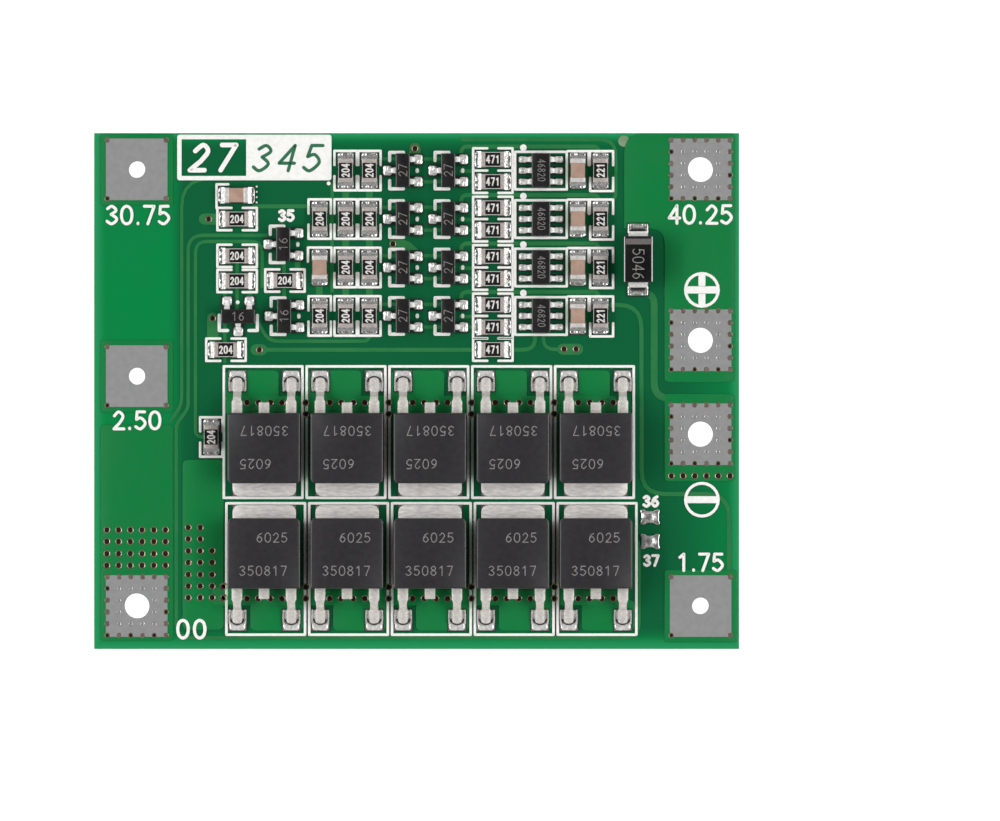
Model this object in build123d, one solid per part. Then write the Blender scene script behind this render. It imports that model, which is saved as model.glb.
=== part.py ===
from build123d import *
import math
import os

# A four-cell battery management board. Millimetres, +Z up.
# The origin is the middle of the board's underside. +X is the long way and +Y the short way.
# Every package is drawn about its own centre and then put in its place on the board.

# Board: laminate core with copper on both faces
board_length = 55.0
board_width = 44.0
board_thickness = 1.6
copper = 0.07
solder = 0.04

# Wire pads along the two short edges
pad_size = 5.25
plating = 0.16
wide_hole = 1.07
slim_hole = 0.72
left_pad_inset = 3.64
right_pad_inset = 3.29
top_pad_inset = 3.1
bottom_pad_inset = 3.67
left_middle_pad = 1.27
plus_pad = 4.33
minus_pad = -3.68
land_margin = 0.45

# Power transistors, D-PAK style
fet_width = 6.2
fet_length = 6.0
fet_height = 2.3
fet_draft = 0.12
fet_corner = 0.45
fet_standoff = 0.05
fet_gap = 0.86
fet_row_gap = 2.95
fet_row_centre_x = 1.15
fet_upper_row = -4.86
fets_in_row = 5
tab_width = 5.4
tab_reach = 1.1
tab_thickness = 0.5
tab_corner = 0.55
tab_hidden = 4.4
fet_lead_width = 0.7
fet_shoulder_width = 0.88
fet_shoulder_length = 1.0
fet_knee_reach = 1.15
fet_lead_thickness = 0.5
fet_lead_spacing = 2.3
fet_lead_height = 0.9
fet_lead_reach = 2.96
fet_lead_run = 0.55
fet_root = 0.3
stub_length = 0.88
fet_land_width = 1.52
fet_land_length = 1.8
fet_land_toe = 0.66

# Power diode, SMA style
diode_x = 18.87
diode_y = 11.2
diode_width = 2.45
diode_length = 3.95
diode_height = 2.1
diode_draft = 0.12
terminal_width = 1.62
terminal_thickness = 0.2
terminal_height = 1.0
terminal_reach = 0.42
terminal_foot = 1.3
diode_land_toe = 0.68
diode_land_length = 1.9

# Small transistors, SOT-23 style, and monitor chips with six leads
sot_width = 1.3
sot_length = 2.9
sot_height = 1.0
sot_draft = 0.09
sot_standoff = 0.05
sot_spacing = 1.9
sot_reach = 0.6
sot_lead_width = 0.42
sot_land_width = 0.92
sot_land_length = 1.02
sot_land_toe = 0.42
monitor_width = 1.6
monitor_height = 1.15
monitor_reach = 0.6
monitor_pitch = 0.95
monitor_land_width = 0.6
monitor_land_length = 1.05
monitor_land_toe = 0.5
lead_thickness = 0.13
lead_exit = 0.5
lead_root = 0.18
lead_run = 0.2

# Chip resistors and capacitors
chip_length = 2.0
chip_width = 1.25
resistor_height = 0.5
capacitor_height = 0.85
end_length = 0.38
end_wall = 0.04
chip_land_width = 1.38
chip_land_toe = 0.53
chip_land_heel = 0.1
chip_joint_rise = 0.24

# Grid of the small parts: four like rows, one for each cell
cell_rows = 4
first_row = 18.79
row_pitch = 4.13
outer_column = -8.26
second_column = -6.05
third_column = -4.02
first_sot_column = -1.17
second_sot_column = 2.70
pair_column = 6.5
pair_offset = 0.95
monitor_column = 10.6
capacitor_column = 13.74
end_column = 15.68
last_pair_row = 3.53

# Solder bridges by the right edge
bridge_x = 19.9
bridge_top_y = -10.74
bridge_pitch = 2.08
bridge_length = 1.8
bridge_width = 1.35
bridge_waist = 0.22
bridge_height = 0.35
bridge_slope = 0.16

# Tracks
fine_track = 0.3
broad_track = 0.6
track_ease = 0.8

# Worked out from the sizes above
core_top = board_thickness - copper
seat = board_thickness + solder
right_edge = board_length / 2
top_edge = board_width / 2
fet_pitch = fet_width + fet_gap
fet_lower_row = fet_upper_row - fet_length - fet_row_gap
bottom_align = (Align.CENTER, Align.CENTER, Align.MIN)


def block(width, depth, low, high, x=0.0, y=0.0):
    """A plain block between two heights."""
    return Pos(x, y, low) * Box(width, depth, high - low, align=bottom_align)


def put(pieces, x, y, height, turn=0):
    """Copies of a package's pieces at one place on the board."""
    return [Pos(x, y, height) * Rot(0, 0, turn) * piece for piece in pieces]


def solids_of(shape):
    """The separate solids of a shape."""
    return list(shape.solids())


def band(points, width):
    """Face of one width along a route of straight legs, mitred at its corners."""
    route = [Vector(*point) for point in points]
    legs = [(after - before).normalized() for before, after in zip(route, route[1:])]
    near = []
    far = []
    for index, point in enumerate(route):
        into = legs[max(index - 1, 0)]
        out = legs[min(index, len(legs) - 1)]
        along = (into + out).normalized()
        across = Vector(along.Y, -along.X) * (width / 2 / along.dot(out))
        near.append(point + across)
        far.append(point - across)
    return make_face(Polyline(*near, *reversed(far), close=True))


def bent_strip(route, thickness, width):
    """Sheet-metal strip, its side view drawn along +Y and up +Z."""
    return extrude(Plane.YZ * band(route, thickness), width / 2, both=True)


# Board

def wire_pads():
    """Name, centre and hole radius of every wire pad."""
    left = left_pad_inset - right_edge
    right = right_edge - right_pad_inset
    top = top_edge - top_pad_inset
    bottom = bottom_pad_inset - top_edge
    return [
        ("pad_cell_3", left, top, slim_hole),
        ("pad_cell_2", left, left_middle_pad, slim_hole),
        ("pad_cell_0", left, bottom, wide_hole),
        ("pad_cell_4", right, top, wide_hole),
        ("pad_plus", right, plus_pad, wide_hole),
        ("pad_minus", right, minus_pad, wide_hole),
        ("pad_cell_1", right, bottom, slim_hole),
    ]


def laminate():
    """Glass laminate core, drilled for the plated wire holes."""
    core = block(board_length, board_width, copper, core_top)
    for name, x, y, hole in wire_pads():
        drilling = Cylinder(hole + plating, board_thickness, align=bottom_align)
        core -= Pos(x, y, 0) * drilling
    return core


def wire_pad(hole):
    """Plated wire hole: a land on each face and the barrel that joins them."""
    square = Rectangle(pad_size, pad_size)
    upper = Pos(0, 0, core_top) * extrude(square, seat - core_top)
    lower = extrude(square, copper)
    barrel = extrude(Circle(hole + plating), seat)
    bore = Cylinder(hole, 3 * board_thickness)
    return upper + lower + barrel - bore


# Power transistors

def fet_outline(inset, height):
    """Package outline at one height: the two corners beside the tab are cut."""
    half_width = fet_width / 2 - inset
    half_length = fet_length / 2 - inset
    points = [
        (-half_width, half_length),
        (-half_width, fet_corner - half_length),
        (fet_corner - half_width, -half_length),
        (half_width - fet_corner, -half_length),
        (half_width, fet_corner - half_length),
        (half_width, half_length),
    ]
    return Pos(0, 0, height) * make_face(Polyline(*points, close=True))


def fet_slug():
    """Tab and heat slug: one plate, its outer corners cut, its inner end under the moulding."""
    outer = -fet_length / 2 - tab_reach
    inner = outer + tab_hidden
    half = tab_width / 2
    points = [
        (-half, inner),
        (-half, outer + tab_corner),
        (tab_corner - half, outer),
        (half - tab_corner, outer),
        (half, outer + tab_corner),
        (half, inner),
    ]
    return extrude(make_face(Polyline(*points, close=True)), tab_thickness)


def fet_lead(side):
    """Formed lead: broad shoulder at the moulding, then down in two bends to a flat foot."""
    root = fet_length / 2 - fet_root
    knee = fet_length / 2 + fet_knee_reach
    half = fet_lead_thickness / 2
    level = fet_lead_height + half
    route = [
        (root, level),
        (knee, level),
        (knee + fet_lead_run, half),
        (fet_length / 2 + fet_lead_reach, half),
    ]
    flat = [(root, level), (fet_length / 2 + fet_shoulder_length, level)]
    strip = bent_strip(route, fet_lead_thickness, fet_lead_width)
    shoulder = bent_strip(flat, fet_lead_thickness, fet_shoulder_width)
    return Pos(side * fet_lead_spacing, 0, 0) * (strip + shoulder)


def fet_stub():
    """Centre lead, cut short at the factory."""
    level = fet_lead_height + fet_lead_thickness / 2
    route = [(fet_length / 2 - fet_root, level), (fet_length / 2 + stub_length, level)]
    return bent_strip(route, fet_lead_thickness, fet_shoulder_width)


def fet_moulding():
    """Moulding: drafted up and down from its parting line, which runs along the top of the leads."""
    parting = fet_lead_height + fet_lead_thickness
    foot = fet_outline(fet_draft / 2, fet_standoff)
    middle = fet_outline(0, parting)
    crown = fet_outline(fet_draft, fet_height)
    return loft([foot, middle], ruled=True) + loft([middle, crown], ruled=True)


def fet_metal():
    """Slug, the two formed leads and the stub, each ending at the moulding's wall."""
    moulding = fet_moulding()
    return [fet_slug()] + [piece - moulding for piece in (fet_lead(-1), fet_lead(1), fet_stub())]


def fet_body():
    """Moulding with the slug let into its underside."""
    return fet_moulding() - fet_slug()


def fet_lands():
    """Tinned lands: two under the feet, and one under the slug."""
    toe = fet_length / 2 + fet_lead_reach + fet_land_toe
    centre = toe - fet_land_length / 2
    low = core_top - seat
    feet = [
        block(fet_land_width, fet_land_length, low, 0, side * fet_lead_spacing, centre)
        for side in (-1, 1)
    ]
    outer = -fet_length / 2 - tab_reach
    drain = block(tab_width, tab_hidden, low, 0, 0, outer + tab_hidden / 2)
    return feet + [drain]


def fet_places():
    """Place and turn of each power transistor: the two rows stand tab to tab."""
    places = []
    for y, turn in ((fet_upper_row, 0), (fet_lower_row, 180)):
        for column in range(fets_in_row):
            x = fet_row_centre_x + fet_pitch * (column - (fets_in_row - 1) / 2)
            places.append((x, y, turn))
    return places


# Power diode

def diode_terminal(side):
    """Terminal that leaves the moulding, folds down its end and turns in under it."""
    half = terminal_thickness / 2
    end = diode_length / 2 + terminal_reach - half
    route = [
        (diode_length / 2 - fet_root, terminal_height + half),
        (end, terminal_height + half),
        (end, half),
        (end - terminal_foot, half),
    ]
    strip = bent_strip(route, terminal_thickness, terminal_width)
    return Rot(0, 0, 0 if side > 0 else 180) * strip


def drafted_body(width, length, low, parting, high, draft):
    """Moulding that narrows up and down from its parting line."""
    middle = Pos(0, 0, parting) * Rectangle(width, length)
    foot = Pos(0, 0, low) * Rectangle(width - draft, length - draft)
    crown = Pos(0, 0, high) * Rectangle(width - 2 * draft, length - 2 * draft)
    return loft([foot, middle], ruled=True) + loft([middle, crown], ruled=True)


def diode_body():
    """Moulding that sits on the turned-in feet of its terminals."""
    parting = terminal_height + terminal_thickness
    return drafted_body(
        diode_width, diode_length, terminal_thickness, parting, diode_height, diode_draft
    )


def diode_metal():
    """Both terminals, each ending at the moulding's wall."""
    return [diode_terminal(side) - diode_body() for side in (1, -1)]


def diode_lands():
    """Tinned lands under the two terminals."""
    toe = diode_length / 2 + terminal_reach + diode_land_toe
    centre = toe - diode_land_length / 2
    low = core_top - seat
    return [
        block(terminal_width + 0.12, diode_land_length, low, 0, 0, side * centre)
        for side in (-1, 1)
    ]


# Small packages with formed leads

def formed_lead(half_width, reach, y, side):
    """Thin lead: it leaves the moulding, goes straight down, and turns out along the land."""
    half = lead_thickness / 2
    route = [
        (half_width - lead_root, lead_exit + half),
        (half_width + lead_run, half),
        (half_width + reach, half),
    ]
    strip = Rot(0, 0, -90) * bent_strip(route, lead_thickness, sot_lead_width)
    return Rot(0, 0, 0 if side > 0 else 180) * (Pos(0, side * y, 0) * strip)


def small_body(width, height):
    """Small moulding, its parting line along the top of the leads."""
    parting = lead_exit + lead_thickness
    return drafted_body(width, sot_length, sot_standoff, parting, height, sot_draft)


def sot_metal():
    """Three leads: one on the left and two on the right."""
    half = sot_width / 2
    leads = [
        formed_lead(half, sot_reach, 0, -1),
        formed_lead(half, sot_reach, sot_spacing / 2, 1),
        formed_lead(half, sot_reach, -sot_spacing / 2, 1),
    ]
    return [lead - small_body(sot_width, sot_height) for lead in leads]


def monitor_metal():
    """Six leads, three to a side."""
    body = small_body(monitor_width, monitor_height)
    return [
        formed_lead(monitor_width / 2, monitor_reach, monitor_pitch * step, side) - body
        for side in (-1, 1)
        for step in (-1, 0, 1)
    ]


def lands_beside(half_width, reach, toe, width, length, places):
    """Tinned lands under the feet of a small package."""
    centre = half_width + reach + toe - length / 2
    low = core_top - seat
    return [block(length, width, low, 0, side * centre, y) for side, y in places]


def sot_lands():
    """Lands of a small transistor."""
    half = sot_width / 2
    places = [(-1, 0), (1, sot_spacing / 2), (1, -sot_spacing / 2)]
    return lands_beside(half, sot_reach, sot_land_toe, sot_land_width, sot_land_length, places)


def monitor_lands():
    """Lands of a monitor chip."""
    half = monitor_width / 2
    places = [(side, monitor_pitch * step) for side in (-1, 1) for step in (-1, 0, 1)]
    return lands_beside(
        half, monitor_reach, monitor_land_toe, monitor_land_width, monitor_land_length, places
    )


# Chip resistors and capacitors

def chip_end(height, side):
    """Metal end of a chip, proud of the ceramic above, below and at its sides."""
    centre = side * (chip_length - end_length) / 2
    return block(end_length, chip_width, 0, height, centre)


def chip_core(height):
    """Ceramic body between the two metal ends."""
    return block(
        chip_length - 2 * end_length, chip_width - 2 * end_wall, end_wall, height - end_wall
    )


def chip_joint(side):
    """Land under a chip's end, with the solder that climbs the end."""
    low = core_top - seat
    outer = chip_length / 2 + chip_land_toe
    inner = chip_length / 2 - end_length - chip_land_heel
    points = [
        (inner, low),
        (outer, low),
        (chip_length / 2, chip_joint_rise),
        (chip_length / 2, 0),
        (inner, 0),
    ]
    profile = Plane.XZ * make_face(Polyline(*points, close=True))
    return Rot(0, 0, 0 if side > 0 else 180) * extrude(profile, chip_land_width / 2, both=True)


# Solder bridges

def bridge_outline(inset, height):
    """Outline of the pillow at one height: a bow tie, drawn in at its waist."""
    share = 1 - inset / (bridge_width / 2)
    half_length = share * bridge_length / 2
    half_width = share * bridge_width / 2
    waist = share * (bridge_width / 2 - bridge_waist)
    points = [
        (-half_length, -half_width),
        (0, -waist),
        (half_length, -half_width),
        (half_length, half_width),
        (0, waist),
        (-half_length, half_width),
    ]
    return Pos(0, 0, height) * make_face(Polyline(*points, close=True))


def bridge():
    """Two tinned lands joined by a pillow of solder."""
    low = core_top - seat
    return loft([bridge_outline(0, low), bridge_outline(bridge_slope, low + bridge_height)], ruled=True)


# Places of the small parts

def row_y(row):
    """Height on the board of one of the four cell rows."""
    return first_row - row_pitch * row


def resistor_places():
    """Place and turn of every chip resistor."""
    places = [
        (-15.3, 14.66, 0),
        (-15.3, 11.52, 0),
        (-15.3, 9.38, 0),
        (-11.22, 9.42, 0),
        (-16.25, 3.52, 0),
        (-17.5, -3.92, 90),
        (outer_column, row_y(1), 90),
        (outer_column, row_y(3), 90),
        (pair_column, last_pair_row, 0),
    ]
    for row in range(cell_rows):
        y = row_y(row)
        places.append((second_column, y, 90))
        places.append((third_column, y, 90))
        places.append((pair_column, y + pair_offset, 0))
        places.append((pair_column, y - pair_offset, 0))
        places.append((end_column, y, 90))
    return places


def capacitor_places():
    """Place and turn of every chip capacitor."""
    places = [(-15.35, 16.68, 0), (outer_column, row_y(2), 90)]
    return places + [(capacitor_column, row_y(row), 90) for row in range(cell_rows)]


def sot_places():
    """Place and turn of every small transistor."""
    places = [(-11.35, 12.5, 0), (-11.27, 6.38, 0), (-15.2, 6.36, 90)]
    for row in range(cell_rows):
        places.append((first_sot_column, row_y(row), 0))
        places.append((second_sot_column, row_y(row), 0))
    return places


def monitor_places():
    """Place and turn of the four monitor chips."""
    return [(monitor_column, row_y(row), 0) for row in range(cell_rows)]


def bridge_places():
    """Place and turn of the two solder bridges."""
    return [(bridge_x, bridge_top_y - bridge_pitch * step, 0) for step in range(2)]


# Etched copper

def eased(points, ease):
    """Route with each corner cut to a short slanting leg."""
    route = [Vector(*point) for point in points]
    eased_route = [route[0]]
    for before, corner, after in zip(route, route[1:], route[2:]):
        into = before - corner
        out = after - corner
        cut = min(ease, 0.45 * into.length, 0.45 * out.length)
        if cut > 0:
            eased_route.append(corner + into.normalized() * cut)
            eased_route.append(corner + out.normalized() * cut)
        else:
            eased_route.append(corner)
    return eased_route + [route[-1]]


def track(points, width=fine_track, ease=track_ease):
    """Track of one width, its corners eased."""
    face = band([(point.X, point.Y) for point in eased(points, ease)], width)
    return Pos(0, 0, core_top) * extrude(face, copper, dir=(0, 0, 1))


def pour(points, low=core_top):
    """Copper pour."""
    outline = make_face(Polyline(*points, close=True))
    return Pos(0, 0, low) * extrude(outline, copper, dir=(0, 0, 1))


def box_pour(x_low, x_high, y_low, y_high, low=core_top):
    """Four-cornered pour."""
    return pour([(x_low, y_low), (x_high, y_low), (x_high, y_high), (x_low, y_high)], low)


def pad_rings():
    """Copper that shows as a rim round each wire pad, under the mask."""
    half = pad_size / 2 + land_margin
    return [
        box_pour(x - half, x + half, y - half, y + half) for name, x, y, hole in wire_pads()
    ]


def edge_pours():
    """Pours that carry the pack current to the pads on the short edges."""
    pads = {name: (x, y) for name, x, y, hole in wire_pads()}
    half = pad_size / 2 + land_margin
    left, bottom = pads["pad_cell_0"]
    right, top = pads["pad_cell_4"]
    plus_low = plus_pad - half - 0.45
    shoulder = diode_y + 2.65
    positive = pour(
        [
            (17.7, top + half),
            (17.7, shoulder),
            (right - half, shoulder),
            (right - half, plus_low),
            (right + half - 0.2, plus_low),
            (right + half - 0.2, top + half),
        ]
    )
    minus_high = minus_pad + pad_size / 2 + 0.82
    minus = box_pour(right - half, right + half - 0.3, minus_pad - 4.0, minus_high)
    ground = box_pour(left - half, left + half, bottom - half, -2.85)
    return [positive, minus, ground]


def fet_pours():
    """Copper of the power path: a strip along each row, and a patch at each source lead."""
    pieces = []
    front = fet_length / 2
    strip_depth = 1.45
    x_low = fet_row_centre_x - fet_pitch * fets_in_row / 2 + 0.1
    x_high = fet_row_centre_x + fet_pitch * fets_in_row / 2 - 1.9
    upper = fet_upper_row + front
    lower = fet_lower_row - front
    pieces.append(box_pour(x_low, x_high, upper - 0.1, upper + strip_depth))
    pieces.append(box_pour(x_low - 1, x_high, lower - strip_depth, lower + 0.1))
    reach = front + fet_lead_reach + fet_land_toe
    beside_land = fet_land_width / 2 - fet_lead_spacing
    patch = box_pour(beside_land, 1.2, front + 1.0, reach)
    for x, y, turn in fet_places():
        pieces.append(Pos(x, y, 0) * Rot(0, 0, turn) * patch)
    pieces.append(box_pour(-19.95, -16.45, lower - strip_depth - 2.2, -5.85))
    return pieces


def cell_tracks():
    """Tracks that repeat in each of the four cell rows."""
    pieces = []
    start = second_sot_column + 1.1
    end = end_column - 0.2
    for row in range(cell_rows):
        y = row_y(row)
        over = y + 2.05
        pieces.append(track([(start, y + 0.95), (start, over), (end, over), (end, y + 1.2)], 0.35, 0))
    return pieces


def left_tracks():
    """Tracks down the left side: two nested bends that end at the lower parts of the board."""
    bottom = 0.95 - top_edge
    bridge_in = bridge_x - bridge_length / 2 - 0.05
    low_bridge = bridge_top_y - bridge_pitch
    outer_x = -20.02
    middle_x = outer_x + 0.55
    inner_x = middle_x + 0.62
    sense = [(-17.6, 17.9), (-18.5, 17.9), (outer_x, 16.2), (outer_x, -1.2), (-21.1, -2.7)]
    charge = [(-12.7, 13.28), (middle_x + 0.8, 13.28), (middle_x, 12.48), (middle_x, -1.45)]
    charge += [(-20.48, -2.85), (-20.48, bottom), (bridge_in - 0.8, bottom)]
    charge += [(bridge_in, bottom + 0.8), (bridge_in, low_bridge)]
    gate = [(-13.15, 8.8), (-13.15, 12.75), (inner_x + 0.7, 12.75), (inner_x, 12.05)]
    gate += [(inner_x, -3.5), (inner_x + 0.4, -3.92), (-17.5, -3.92)]
    return [track(route, fine_track, 0) for route in (sense, charge, gate)]


def middle_tracks():
    """Tracks below the small parts, and the short ones that join neighbours in a column."""
    chip_in = monitor_column - 0.5
    chip_out = monitor_column + 0.2
    under_chip = row_y(3) - 0.9
    pieces = [
        track([(-13.9, 5.2), (-12.6, 4.25), (-4.02, 4.25), (-4.02, 5.2)], fine_track, 0),
        track([(-13.39, last_pair_row), (chip_in, last_pair_row), (chip_in, under_chip)], 0.35, 0.6),
        track([(chip_out, under_chip), (chip_out, last_pair_row), (13.0, last_pair_row)]),
    ]
    uprights = [
        (-16.35, 2.4, 9.3, fine_track),
        (-15.3, 5.0, 11.3, fine_track),
        (outer_column, row_y(3) + 1.4, row_y(2) - 1.4, broad_track),
        (-7.2, row_y(3) + 2.0, 17.7, fine_track),
    ]
    for x, low, high, width in uprights:
        pieces.append(track([(x, low), (x, high)], width))
    return pieces


def right_tracks():
    """Tracks at the top and down the right side."""
    pads = {name: (x, y) for name, x, y, hole in wire_pads()}
    tap_x, tap_y = pads["pad_cell_1"]
    drop_x = tap_x - 4.0
    minus_high = minus_pad + pad_size / 2 + 0.52
    tap_turn = tap_x + 2.4
    supply = [(-8.5, 21.45), (16.98, 21.45), (16.98, 15.85), (end_column, 15.85)]
    freewheel = [(diode_x, 8.45), (drop_x, 8.45), (drop_x, minus_high), (tap_x, minus_high)]
    first_cell = [(end_column, 7.3), (19.17, 7.3), (19.17, -8.78), (tap_turn, -8.78)]
    first_cell += [(tap_turn, tap_y)]
    return [track(supply), track(freewheel, broad_track), track(first_cell, 0.38)]


def via_lands():
    """Copper that carries the lone vias to the parts beside them."""
    return [
        track([(-18.2, 14.66), (-16.4, 14.66)], 0.9),
        track([(-17.38, 6.65), (-17.38, 3.6)], 0.98),
        track([(-0.14, 21.1), (-0.14, 19.8)], 1.0),
        track([(-2.5, 12.54), (-0.4, 12.54), (-0.4, 11.6)], 0.6, 0),
        track([(-14.05, 3.52), (-12.9, 3.52)], 0.96),
        track([(12.15, 3.55), (14.05, 3.55)], 0.96),
    ]


def all_lands():
    """Every tinned land on the top face, package by package."""
    lands = {"power": [], "signal": [], "chip": []}
    for x, y, turn in fet_places():
        lands["power"] += put(fet_lands(), x, y, seat, turn)
    lands["power"] += put(diode_lands(), diode_x, diode_y, seat)
    for x, y, turn in sot_places():
        lands["signal"] += put(sot_lands(), x, y, seat, turn)
    for x, y, turn in monitor_places():
        lands["signal"] += put(monitor_lands(), x, y, seat, turn)
    for x, y, turn in resistor_places() + capacitor_places():
        lands["chip"] += put([chip_joint(-1), chip_joint(1)], x, y, seat, turn)
    return lands


def copper_top(lands, bridges):
    """Top copper under the mask: everything etched, less what is left bare and tinned."""
    pieces = pad_rings() + edge_pours() + fet_pours()
    pieces += cell_tracks() + left_tracks() + middle_tracks() + right_tracks() + via_lands()
    layer = pieces[0].fuse(*pieces[1:])
    pads = [block(pad_size, pad_size, 0, seat, x, y) for name, x, y, hole in wire_pads()]
    bare = pads + bridges + [land for group in lands.values() for land in group]
    return layer.cut(*bare)


def copper_bottom():
    """Bottom copper under the mask: the pours that the via fields lead to."""
    pads = {name: (x, y) for name, x, y, hole in wire_pads()}
    half = pad_size / 2 + land_margin
    left, bottom = pads["pad_cell_0"]
    right, top = pads["pad_cell_4"]
    lower = fet_lower_row - fet_length / 2
    pieces = [
        box_pour(left - half, left + half, bottom - half, -11.2, low=0),
        box_pour(right - half, right + half - 0.2, plus_pad - half, top + half, low=0),
        box_pour(right - half, right + half - 0.2, minus_pad - 4.0, minus_pad + half, low=0),
        box_pour(-19.95, fet_row_centre_x + 2.5 * fet_pitch - 1.9, lower - 1.45, -11.1, low=0),
    ]
    layer = pieces[0].fuse(*pieces[1:])
    return layer.cut(*[block(pad_size, pad_size, 0, copper, x, y) for name, x, y, h in wire_pads()])


def save(name, pieces):
    """Write one node."""
    export_step(Compound(pieces), f"parts/{name}.step")


def main():
    """Build every node of the board."""
    os.makedirs("parts", exist_ok=True)
    save("laminate", solids_of(laminate()))
    for name, x, y, hole in wire_pads():
        save(name, solids_of(Pos(x, y, 0) * wire_pad(hole)))

    lands = all_lands()
    bridges = []
    for x, y, turn in bridge_places():
        bridges += put([bridge()], x, y, seat, turn)
    save("copper_top", solids_of(copper_top(lands, bridges)))
    save("copper_bottom", solids_of(copper_bottom()))
    save("lands_power", lands["power"])
    save("lands_signal", lands["signal"])
    save("lands_chips", lands["chip"])
    save("solder_bridges", bridges)

    metal = fet_metal()
    body = [fet_body()]
    for number, (x, y, turn) in enumerate(fet_places(), start=1):
        save(f"power_transistor_{number}_body", put(body, x, y, seat, turn))
        save(f"power_transistor_{number}_metal", put(metal, x, y, seat, turn))

    save("diode_body", put([diode_body()], diode_x, diode_y, seat))
    save("diode_terminals", put(diode_metal(), diode_x, diode_y, seat))

    metal = monitor_metal()
    body = [small_body(monitor_width, monitor_height)]
    for number, (x, y, turn) in enumerate(monitor_places(), start=1):
        save(f"monitor_chip_{number}_body", put(body, x, y, seat, turn))
        save(f"monitor_chip_{number}_leads", put(metal, x, y, seat, turn))

    metal = sot_metal()
    body = [small_body(sot_width, sot_height)]
    bodies = []
    leads = []
    for x, y, turn in sot_places():
        bodies += put(body, x, y, seat, turn)
        leads += put(metal, x, y, seat, turn)
    save("small_transistor_bodies", bodies)
    save("small_transistor_leads", leads)

    cores = []
    ends = []
    for x, y, turn in resistor_places():
        cores += put([chip_core(resistor_height)], x, y, seat, turn)
        ends += put([chip_end(resistor_height, side) for side in (-1, 1)], x, y, seat, turn)
    save("resistor_cores", cores)
    save("resistor_ends", ends)

    cores = []
    ends = []
    for x, y, turn in capacitor_places():
        cores += put([chip_core(capacitor_height)], x, y, seat, turn)
        ends += put([chip_end(capacitor_height, side) for side in (-1, 1)], x, y, seat, turn)
    save("capacitor_cores", cores)
    save("capacitor_ends", ends)


if __name__ == "__main__":
    main()
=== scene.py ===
# %% [markdown]
# A small battery guard board, seen from straight above: a green laminate sheet with tinned wire
# pads along two edges, ten power transistors in two rows, and a field of small parts.
# The solid model is loaded first, as a fixed frame that nothing below moves. The places and sizes
# of the parts are read from it, so what is drawn here stays on the solids that it stands for.

# %% Load the frame
import bpy
import math
import random
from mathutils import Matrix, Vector


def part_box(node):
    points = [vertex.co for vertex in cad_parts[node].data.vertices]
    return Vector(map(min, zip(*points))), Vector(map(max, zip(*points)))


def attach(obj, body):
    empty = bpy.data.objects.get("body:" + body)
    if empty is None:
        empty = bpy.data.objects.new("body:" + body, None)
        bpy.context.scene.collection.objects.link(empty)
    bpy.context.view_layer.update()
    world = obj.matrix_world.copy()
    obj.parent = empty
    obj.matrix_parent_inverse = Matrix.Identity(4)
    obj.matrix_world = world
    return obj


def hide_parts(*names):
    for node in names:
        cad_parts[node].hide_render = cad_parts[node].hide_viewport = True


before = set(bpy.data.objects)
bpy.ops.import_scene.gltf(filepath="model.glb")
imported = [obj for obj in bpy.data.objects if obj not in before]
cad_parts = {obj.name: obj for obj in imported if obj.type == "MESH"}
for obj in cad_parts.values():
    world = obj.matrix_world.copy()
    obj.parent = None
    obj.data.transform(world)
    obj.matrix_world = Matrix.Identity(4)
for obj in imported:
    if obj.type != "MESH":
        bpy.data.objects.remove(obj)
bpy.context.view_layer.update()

MM = 0.001

# %% [markdown]
# Reading the solid model. Blender's tolerances suit things about a metre long, so every piece is
# modelled with one unit standing for a millimetre, and only the finished piece is brought down to
# size. A node that holds many like solids, such as the resistors, is read solid by solid:
# triangles that share a corner belong together.

# %% Read boxes from the frame
def low_high(node):
    """Lowest and highest corner of a node, in millimetres."""
    low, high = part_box(node)
    return low / MM, high / MM


def solids_in(node):
    """Lowest and highest corner of each separate solid in a node, in millimetres."""
    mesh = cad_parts[node].data
    places = [tuple(round(c, 6) for c in vertex.co) for vertex in mesh.vertices]
    leader = {place: place for place in places}

    def lead(place):
        while leader[place] != place:
            leader[place] = leader[leader[place]]
            place = leader[place]
        return place

    for face in mesh.polygons:
        first = lead(places[face.vertices[0]])
        for index in face.vertices[1:]:
            leader[lead(places[index])] = first
    groups = {}
    for place in set(places):
        groups.setdefault(lead(place), []).append(place)
    boxes = []
    for group in groups.values():
        low = [min(place[axis] for place in group) / MM for axis in range(3)]
        high = [max(place[axis] for place in group) / MM for axis in range(3)]
        boxes.append((low, high))
    return sorted(boxes)


def stand(low, high):
    """Centre of a box and its turn: 0 if it lies along X, a quarter turn if along Y."""
    along_x = high[0] - low[0] > high[1] - low[1]
    return (low[0] + high[0]) / 2, (low[1] + high[1]) / 2, 0 if along_x else 90


# %% [markdown]
# Where the parts stand. A part is noted by its centre and its turn in degrees. The two rows of
# power transistors face away from each other, so each is turned by the side that its leads reach
# to. Parts stand on `seat`, the top of the tinned lands, a little above the laminate.

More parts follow.
